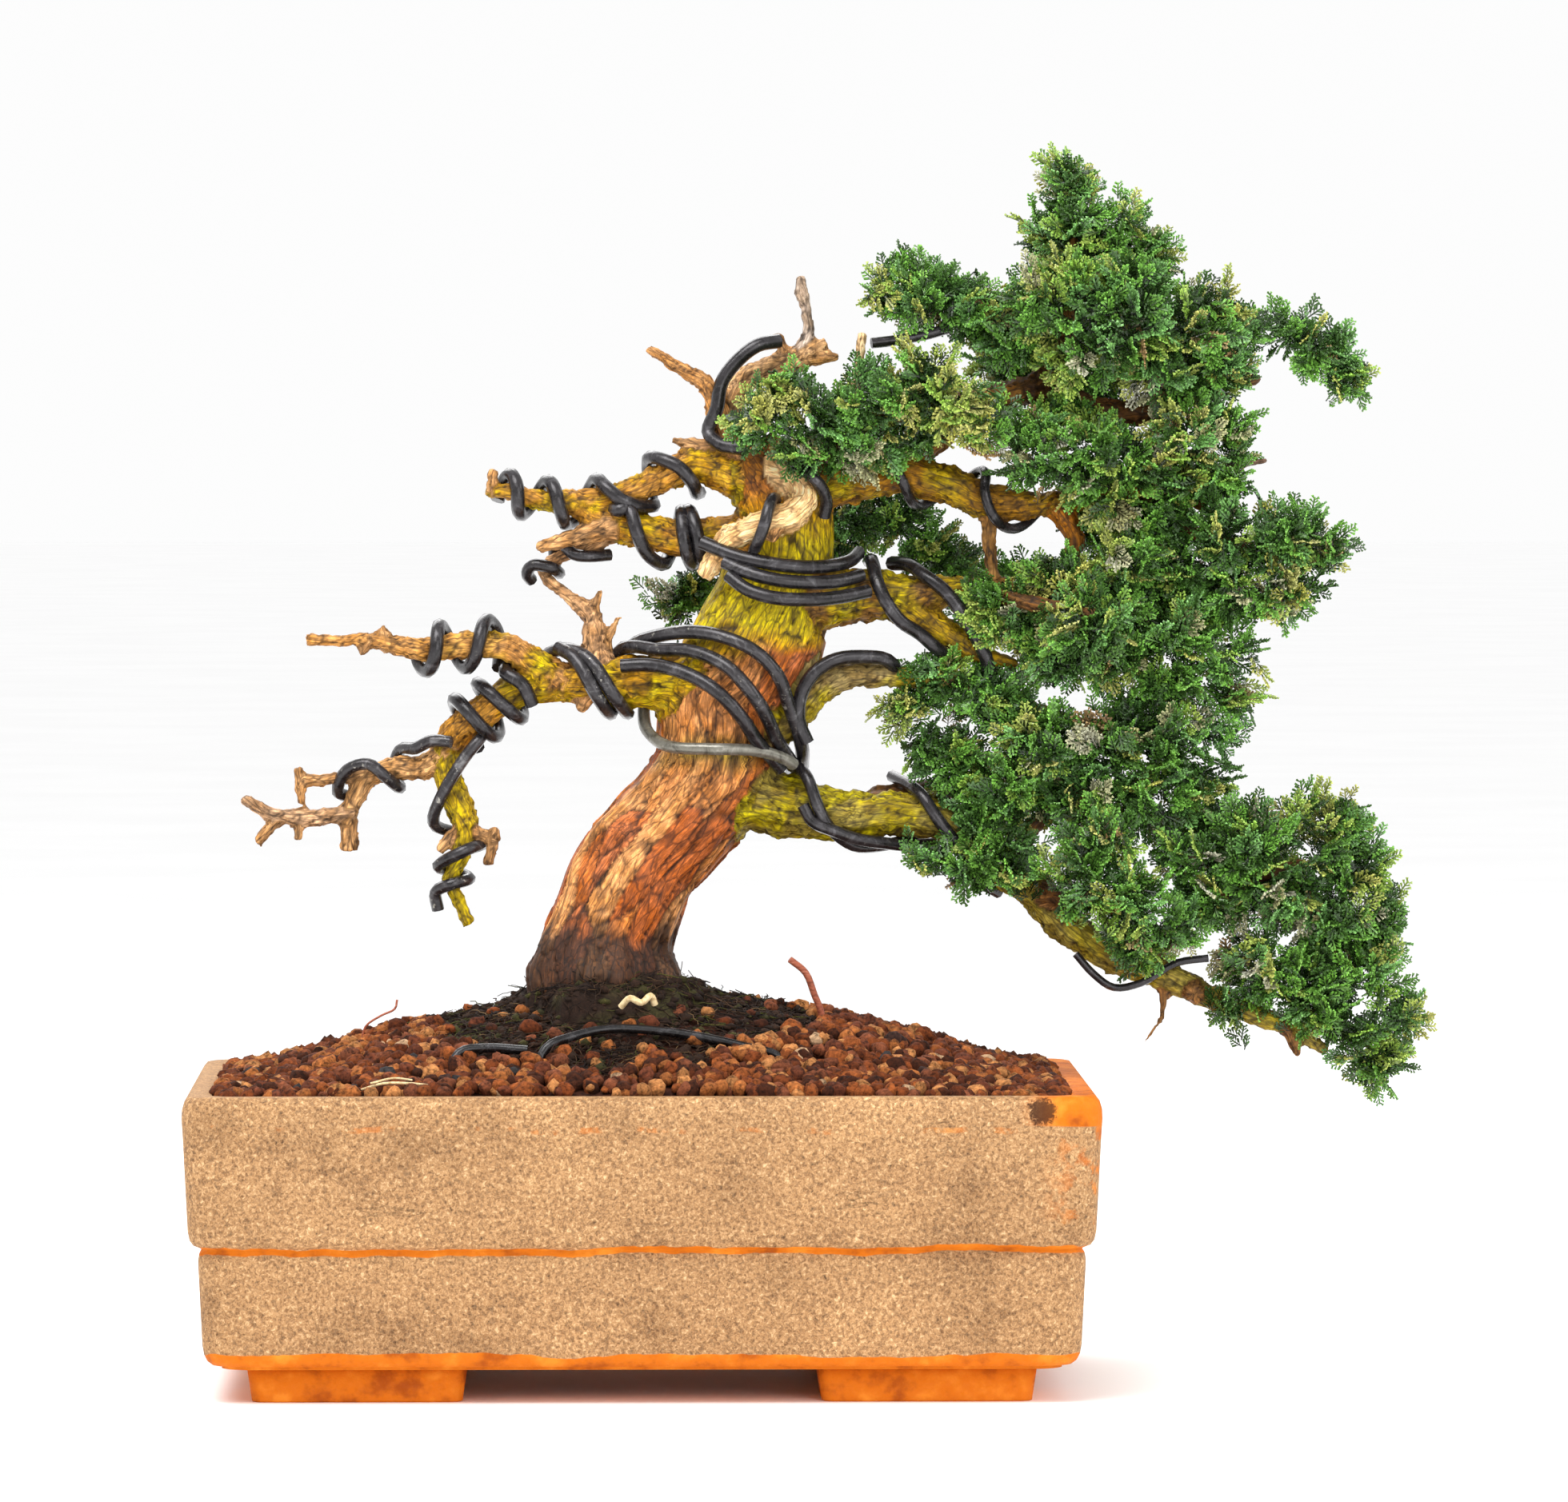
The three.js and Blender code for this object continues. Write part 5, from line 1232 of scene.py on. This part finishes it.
def anchor_foot(x):
    """A hook under the pot's floor and the stretch up through its tie hole."""
    inward = -math.copysign(1, x)
    return [(x + inward * 14, -TIE_HOLE_Y, 11), (x + inward * 5, -TIE_HOLE_Y, 11.5), (x, -TIE_HOLE_Y, 16),
            (x, -TIE_HOLE_Y, 24), (x, -TIE_HOLE_Y, 34), (x, -TIE_HOLE_Y - 4, 46)]


rubbed_wire = wire_metal("rubbed_anodised_wire", "#0E0D0E", "#1B191A", "#4A484A", 0.05)
anchor_lines = {
    "anchor_wire_long": anchor_foot(-TIE_HOLE_X) + [
        (-48, -78, 84), (-46, -88, 136), (-42, -87, 152), (-30, -82, 157), (-14, -77, 160), (8, -76, 159),
        (28, -77, 156), (46, -79, 152), (60, -81, 148), (66, -80, 138)],
    "anchor_wire_short": anchor_foot(TIE_HOLE_X) + [
        (14, -84, 66), (-60, -98, 100), (-84, -92, 136), (-80, -86, 150), (-68, -84, 152), (-50, -85, 151)],
}
for name, points in anchor_lines.items():
    wire_piece(name, ANCHOR_RADIUS, points, rubbed_wire)
print("anchor wires", len(anchor_lines))

# %% [markdown]
# ## Roots
# The root ball is a mat of fine dark roots with crumbs of soil and a little moss. Its packed
# solid is remeshed and roughened, and curved hairs are laid over it.

# %% Roots
def fibrous_mat():
    """Matted fine roots and wet humus: nearly black brown, with moss green and pale crumbs."""
    material, shader = new_material("matted_fibrous_roots")
    point = object_point(material)
    tint = add_node(material, "ShaderNodeVertexColor", layer_name="tint").outputs["Color"]
    mat = colour_steps(material, cloudy(material, point, 2.6, 7, 0.75, 1.5), (0.32, "#3A3A3A"),
                       (0.52, "#A8A8A8"), (0.7, "#FFFFFF"))
    base = blend_colours(material, 0.85, tint, mat, "MULTIPLY")
    link(material, base, shader.inputs["Base Color"])
    shader.inputs["Roughness"].default_value = 0.9
    shader.inputs["Specular IOR Level"].default_value = 0.25
    relief(material, shader, cloudy(material, point, 1.4, 6, 0.75), 0.8, 0.8)
    return material


def bent_hair(random, bends=4, length=13.0, radius=0.26):
    """A template root hair: a three-sided tube bent a little at each step."""
    mesh = bmesh.new()
    ring = bmesh.ops.create_circle(mesh, cap_ends=True, segments=3, radius=radius * MM)
    bmesh.ops.rotate(mesh, verts=mesh.verts, cent=(0, 0, 0), matrix=Matrix.Rotation(math.pi / 2, 3, "Y"))
    face = list(mesh.faces)[0]
    for _ in range(bends):
        face = bmesh.ops.extrude_discrete_faces(mesh, faces=[face])["faces"][0]
        shift = Vector((length / bends, random.normal() * 1.6, random.normal() * 0.5)) * MM
        for vertex in face.verts:
            vertex.co += shift
    bmesh.ops.triangulate(mesh, faces=mesh.faces)
    bmesh.ops.recalc_face_normals(mesh, faces=mesh.faces)
    data = bpy.data.meshes.new("hair_template")
    mesh.to_mesh(data)
    mesh.free()
    return data


def surface_draws(mesh, random, count):
    """Random points and normals on a bmesh, spread evenly by area."""
    faces = list(mesh.faces)
    areas = np.array([face.calc_area() for face in faces])
    chosen = random.choice(len(faces), size=count, p=areas / areas.sum())
    spots = []
    for number in chosen:
        corners = [v.co for v in faces[number].verts]
        a, b = (float(value) for value in random.random(2))
        if a + b > 1:
            a, b = 1 - a, 1 - b
        spots.append((corners[0] + a * (corners[1] - corners[0]) + b * (corners[2] - corners[0]),
                      faces[number].normal.copy()))
    return spots


def facing(direction, up):
    """A turn that takes +X to direction and keeps +Z near up."""
    x_axis = direction.normalized()
    z_axis = (up - x_axis * up.dot(x_axis)).normalized()
    return Matrix((x_axis, z_axis.cross(x_axis), z_axis)).transposed().to_4x4()


ROOT_HAIRS = 3800
ROOT_CLODS = 900
MOUND_RISE = 9
MOUND_REACH = 52


def patch_spots(random, count):
    """Random places on the root ball and on the soil around it, seen from above."""
    spots = []
    while len(spots) < count:
        x, y = random.uniform(-105, 90), random.uniform(-112, 100)
        if not in_root_patch(x, y):
            continue
        start = place(x, y, 260)
        hits = [tree.ray_cast(start, Vector((0, 0, -1))) for tree in (soil_tree, root_tree)]
        hits = [hit for hit in hits if hit[0] is not None]
        if hits:
            top = max(hits, key=lambda hit: hit[0].z)
            spots.append((top[0], top[1]))
    return spots


root_material = fibrous_mat()
draw = np.random.default_rng(23)
ball = node_copy("root_ball")
data = bpy.data.meshes.new("root_mat")
ball.to_mesh(data)
ball.free()
mat_piece = bpy.data.objects.new("root_mat", data)
bpy.context.scene.collection.objects.link(mat_piece)
even = mat_piece.modifiers.new("even_faces", "REMESH")
even.mode = "VOXEL"
even.voxel_size = 2.2 * MM
settled(mat_piece)
mat_mesh = bmesh.new()
mat_mesh.from_mesh(mat_piece.data)
bpy.data.objects.remove(mat_piece)
bmesh.ops.smooth_vert(mat_mesh, verts=mat_mesh.verts, factor=0.5, use_axis_x=True, use_axis_y=True,
                      use_axis_z=True)
mat_mesh.normal_update()
mat_tints = []
for vertex in mat_mesh.verts:
    spot = vertex.co / MM
    away = math.hypot(spot.x - POT_MIDDLE_X / MM + 12, spot.y)
    if spot.z > 140:
        vertex.co.z += MM * MOUND_RISE * max(0.0, 1 - (away / MOUND_REACH / 1.6) ** 2)
    vertex.co += vertex.normal * MM * (2.2 * noise.noise(spot / 7) + 1.2 * noise.noise(spot / 2.9))
    mossy = np.clip(1.6 * noise.noise(spot / 15) + 0.2 + (spot.x - POT_MIDDLE_X / MM) / 90, 0, 0.7)
    humus = np.array(linear("#3A261B")[:3])
    mat_tints.append([*(humus * (1 - mossy) + np.array(linear("#55502A")[:3]) * mossy), 1])
root_tree = BVHTree.FromBMesh(mat_mesh)
data = bpy.data.meshes.new("root_mat")
mat_mesh.to_mesh(data)
mat_mesh.free()
colour_layer(data, "tint", mat_tints)
finished("root_mat", data, root_material, ["root_ball"])

clod = lumpy_stone(draw, 1)
clod_places, clod_tints = [], []
for spot, normal in patch_spots(draw, ROOT_CLODS):
    half = draw.uniform(1.2, 3.6)
    flatter = Matrix.Diagonal((half, half * draw.uniform(0.7, 1), half * draw.uniform(0.4, 0.7), 1))
    turn = Matrix.Rotation(draw.uniform(0, 6.28), 4, "Z")
    clod_places.append(Matrix.Translation(spot) @ turn @ flatter)
    shade = linear("#3B2619" if draw.random() < 0.75 else "#4A4520")
    clod_tints.append([*np.array(shade[:3]) * draw.uniform(0.7, 1.5), 1])
finished("root_clods", scattered(clod, clod_places, clod_tints), root_material, ["root_ball"])

hair_colours = [linear(c) for c in ("#3A281D", "#4E3728", "#241813", "#6E5038", "#6B6A2E", "#9A7A52")]
hair_places, hair_tints = [], []
for spot, normal in patch_spots(draw, ROOT_HAIRS):
    sideways = Vector(draw.normal(size=3).tolist())
    sideways -= normal * sideways.dot(normal)
    direction = sideways + normal * draw.uniform(-0.05, 0.16) * sideways.length
    stretch = draw.uniform(0.4, 1.1)
    hair_places.append(Matrix.Translation(spot) @ facing(direction, normal) @ Matrix.Scale(stretch, 4))
    hair_tints.append(hair_colours[draw.choice(6, p=[0.32, 0.25, 0.2, 0.12, 0.08, 0.03])])
hairs = scattered(bent_hair(draw), hair_places, hair_tints)
finished("root_hairs", hairs, root_material, ["root_ball"])
print("root hairs", len(hair_places))


def young_root():
    """A young surface root: smooth red-brown skin with fine rings."""
    material, shader = new_material("young_root_skin")
    point = object_point(material)
    rings = cloudy(material, stretched(material, point, (1, 1, 3)), 3, 5)
    tone = colour_steps(material, rings, (0.3, "#7A3A26"), (0.55, "#A65A3E"), (0.75, "#C9866A"))
    link(material, tone, shader.inputs["Base Color"])
    shader.inputs["Roughness"].default_value = 0.65
    relief(material, shader, rings, 0.4, 0.6)
    return material


ROOT_RADIUS = 1.5
stray_line = [(80, -20, 150), (80, -24, 164), (77, -26, 172), (73, -28, 182), (66, -30, 188)]
root_skin = young_root()
wire_piece("stray_root", ROOT_RADIUS, stray_line, root_skin)


def dry_straw():
    """Bleached straw and husk: pale, dry and matt."""
    material, shader = new_material("bleached_dry_straw")
    point = object_point(material)
    streaks = cloudy(material, point, 2, 4)
    link(material, colour_steps(material, streaks, (0.3, "#B99A68"), (0.65, "#EAD3A4")),
         shader.inputs["Base Color"])
    shader.inputs["Roughness"].default_value = 0.85
    relief(material, shader, streaks, 0.3, 0.4)
    return material


straw = dry_straw()
litter = {
    "straw_long": (0.6, [(-122, -120, 136), (-112, -124, 139), (-100, -126, 139), (-92, -124, 138)], straw),
    "straw_short": (0.5, [(-118, -124, 139), (-108, -120, 141), (-100, -118, 140)], straw),
    "hair_root_left": (0.5, [(-124, -20, 150), (-122, -22, 158), (-115, -24, 163), (-109, -24, 166),
                             (-108, -24, 170)], root_skin),
    "husk": (1.5, [(-9, -66, 169), (-5, -69, 173), (0, -70, 171), (4, -68, 174), (6, -66, 170)], straw),
}
for name, (radius, points, material) in litter.items():
    wire_piece(name, radius, points, material, "soil")

# %% [markdown]
# ## Foliage
# Each shoot ends in flat fans of scale leaves. One sprig is a stem with short blunt side
# shoots. Sprigs are set along a twig in one plane to make a fan, and fans are drawn at random
# over each packed pad, growing out of it and a little upwards.

# %% Sprig and leaf material
SHOOT_SIDES = 3
SPRIG_LENGTH = 8.0


def sprig(random, pairs=4):
    """A template sprig along +X: a stem and blunt side shoots. Each vertex stores how near
    a shoot's tip it is."""
    mesh = bmesh.new()
    tip = mesh.verts.layers.float.new("tip")

    def shoot(x, y, angle, length, radius, foot_radius=0.0):
        turn = Matrix.Rotation(angle, 4, "Z") @ Matrix.Rotation(math.pi / 2, 4, "Y")
        foot = Vector((x, y, 0)) * MM
        matrix = Matrix.Translation(foot) @ turn @ Matrix.Translation((0, 0, length / 2 * MM))
        made = bmesh.ops.create_cone(mesh, cap_ends=True, segments=SHOOT_SIDES, depth=length * MM,
                                     radius1=foot_radius * MM, radius2=radius * MM, matrix=matrix)
        for vertex in made["verts"]:
            vertex[tip] = float((vertex.co - foot).length > length / 2 * MM)

    shoot(0, 0, 0, SPRIG_LENGTH, 0.62, 0.4)
    for pair in range(pairs):
        x = SPRIG_LENGTH * (0.14 + 0.7 * pair / (pairs - 1))
        reach = 4.4 - 0.6 * pair
        for side in (-1, 1):
            lean = side * math.radians(random.uniform(30, 55))
            shoot(x, 0, lean, reach * random.uniform(0.8, 1.15), random.uniform(0.74, 0.94))
    for vertex in mesh.verts:
        vertex.co.z = 0.8 * vertex.co.z + random.normal() * 0.12 * MM + 0.04 * vertex.co.y ** 2 / MM
    bmesh.ops.triangulate(mesh, faces=mesh.faces)
    data = bpy.data.meshes.new("sprig_template")
    mesh.to_mesh(data)
    mesh.free()
    return data


def scale_leaves():
    """Fresh scale leaves: waxy and slightly glossy; the tint carries a painted highlight at the shoots' tips and
    painted shade at their feet.
    """
    material, shader = new_material("waxy_scale_leaves")
    point = object_point(material)
    tint = add_node(material, "ShaderNodeVertexColor", layer_name="tint").outputs["Color"]
    scales = cells(material, point, 1.3).outputs["Distance"]
    shade = colour_steps(material, scales, (0.1, "#FFFFFF"), (0.5, "#A8A8A8"), (0.9, "#3C3C3C"))
    base = blend_colours(material, 0.75, tint, shade, "MULTIPLY")
    link(material, base, shader.inputs["Base Color"])
    rough = colour_steps(material, cloudy(material, point, 3), (0.3, "#7A7A7A"), (0.7, "#A6A6A6"))
    link(material, rough, shader.inputs["Roughness"])
    shader.inputs["Specular IOR Level"].default_value = 0.35
    relief(material, shader, scales, 0.3, 0.5)
    return material


# %% Foliage pads
AREA_PER_FAN = 50
SPRIG_STEP = 2.4
leaf_palette = {
    "deep": "#1C4A18", "mid": "#357A22", "cool": "#37753C", "bright": "#54AC1C", "lime": "#98C824",
    "dead": "#D29A72",
}
leaf_shares = {"deep": 0.27, "mid": 0.38, "cool": 0.15, "bright": 0.14, "lime": 0.025, "dead": 0.035}
HIDDEN_DEPTH = 5 * MM
# The pale tip colour and its gain paint a highlight on each shoot's tip; FOOT_SHADE paints shade at its foot.
PAINTED_TIP_HIGHLIGHT = np.array(linear("#D6E27C")[:3])
TIP_HIGHLIGHT_GAIN = 2.2
FOOT_SHADE = 0.06
PALEST_LEAF = 0.85
# places where the growth is fresh or has died back: x, z, reach and kind, on the front
growth_zones = [
    (128, 451, 18, "fresh"), (145, 432, 20, "fresh"), (125, 432, 16, "fresh"), (185, 451, 12, "bright"),
    (256, 480, 15, "fresh"), (242, 409, 14, "fresh"), (208, 372, 16, "bright"), (182, 349, 18, "fresh"),
    (151, 341, 14, "bright"), (111, 298, 14, "fresh"), (182, 488, 12, "bright"), (108, 483, 12, "bright"),
    (285, 357, 12, "lime"), (174, 218, 10, "lime"), (206, 208, 14, "bright"), (48, 428, 14, "fresh"),
    (64, 440, 10, "fresh"), (322, 222, 12, "bright"), (330, 142, 12, "bright"), (300, 252, 14, "bright"),
    (225, 434, 10, "dead"), (159, 412, 9, "dead"), (122, 402, 9, "dead"), (99, 407, 8, "dead"),
    (142, 387, 8, "dead"), (191, 386, 8, "dead"), (218, 389, 7, "dead"), (111, 369, 8, "dead"),
    (188, 306, 9, "dead"), (198, 289, 8, "dead"), (154, 281, 7, "dead"), (279, 357, 6, "dead"),
    (259, 190, 12, "dead"), (269, 183, 10, "dead"), (281, 218, 7, "dead"), (295, 204, 8, "dead"),
]


def shade_shoots(data, template, copies):
    """Paints shade on each shoot's foot and a highlight on its tip."""
    tips = np.empty(len(template.vertices), dtype=np.float32)
    template.attributes["tip"].data.foreach_get("value", tips)
    tips = np.tile(tips, copies)[:, None]
    colours = np.empty(len(data.vertices) * 4, dtype=np.float32)
    layer = data.color_attributes["tint"].data
    layer.foreach_get("color", colours)
    colours = colours.reshape(-1, 4)
    # Painted highlight at each shoot's tip, painted shade at its foot.
    tip_highlight = TIP_HIGHLIGHT_GAIN * (colours[:, :3] + 0.7 * PAINTED_TIP_HIGHLIGHT * colours[:, 1:2])
    shaded = colours[:, :3] * FOOT_SHADE * (1 - tips) + tip_highlight * tips
    colours[:, :3] = np.minimum(shaded, PALEST_LEAF)
    layer.foreach_set("color", colours.ravel())


def fan_tint(spot, random, inner):
    """The colour of a fan from its place on the tree and a random draw; inner fans get painted shade."""
    names = list(leaf_palette)
    name = names[random.choice(len(names), p=[leaf_shares[one] for one in names])]
    chance = random.random()
    x, z = (spot.x - POT_MIDDLE_X) / MM, spot.z / MM
    for zone_x, zone_z, reach, kind in growth_zones:
        away = math.hypot(x - zone_x, z - zone_z) / reach
        if spot.y < 0.02 and chance > away ** 2:
            name = kind if kind != "fresh" else ("lime" if chance > 0.72 else "bright")
    # Inner fans are painted shade: bright greens turn deep, and the tint is halved.
    if inner and name in ("bright", "lime"):
        name = "deep"
    strength = random.uniform(0.75, 1.3) * (0.5 if inner else 1)
    return np.array(linear(leaf_palette[name])[:3]) * strength


def inside_other_pad(node, spot):
    """Whether a spot lies deep inside another pad, where no fan would be seen."""
    for other, tree in pad_trees.items():
        if other != node:
            nearest, normal, _, distance = tree.find_nearest(spot, HIDDEN_DEPTH * 8)
            if nearest is not None and (spot - nearest).dot(normal) < 0 and distance > HIDDEN_DEPTH:
                return True
    return False


def leaf_pad(node, random, templates, material):
    """Fans of sprigs over one packed pad."""
    pad = node_copy(node)
    bmesh.ops.triangulate(pad, faces=pad.faces)
    pad.normal_update()
    area = sum(face.calc_area() for face in pad.faces) / MM ** 2
    spots = surface_draws(pad, random, int(area / AREA_PER_FAN))
    middle = sum((v.co for v in pad.verts), Vector()) / len(pad.verts)
    pad.free()
    places, tints, kinds = [], [], []
    for spot, normal in spots:
        if inside_other_pad(node, spot):
            continue
        outward = (spot - middle).normalized()
        grow = normal * 0.9 + outward * 0.3 + Vector((0, 0, 0.2)) + Vector(random.normal(0, 0.35, 3).tolist())
        flat = Vector((0, -0.6, 0.6)) + Vector(random.normal(0, 0.5, 3).tolist())
        turn = facing(grow, flat)
        # About a quarter of the fans sit deeper in the pad and carry painted shade.
        inner = random.random() < 0.25
        start = spot - turn.to_3x3().col[0] * MM * random.uniform(*((13, 19) if inner else (8, 13)))
        tint = fan_tint(spot, random, inner)
        sprigs = int(random.integers(4, 7))
        for step in range(sprigs):
            side = 0 if step == sprigs - 1 else (1 if step % 2 else -1)
            lean = Matrix.Rotation(side * math.radians(random.uniform(28, 52)), 4, "Z")
            along = Matrix.Translation(Vector((step * SPRIG_STEP * MM, side * 0.5 * MM, 0)))
            size = Matrix.Scale(random.uniform(0.72, 1.0), 4)
            roll = Matrix.Rotation(random.normal(0, 0.4), 4, "X")
            places.append(Matrix.Translation(start) @ turn @ along @ lean @ roll @ size)
            tints.append([*tint * random.uniform(0.85, 1.15), 1])
            kinds.append(int(random.integers(len(templates))))
    joined = bmesh.new()
    for kind, template in enumerate(templates):
        chosen = [number for number, value in enumerate(kinds) if value == kind]
        part = scattered(template, [places[n] for n in chosen], [tints[n] for n in chosen],
                         chosen, len(kinds))
        shade_shoots(part, template, len(chosen))
        joined.from_mesh(part)
        bpy.data.meshes.remove(part)
    return finished(node + "_sprays", joined, material, [node], smooth=False)


draw = np.random.default_rng(41)
leaf_templates = [sprig(draw) for _ in range(3)]
leaf_material = scale_leaves()
pad_names = sorted(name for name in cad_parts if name.startswith("foliage_"))
pad_trees = {name: surface_finder(name) for name in pad_names}
leaf_faces = {}
for node in pad_names:
    leaf_faces[node] = len(leaf_pad(node, draw, leaf_templates, leaf_material).data.polygons)
print("leaf faces", sum(leaf_faces.values()), "most in one pad", max(leaf_faces.values()))
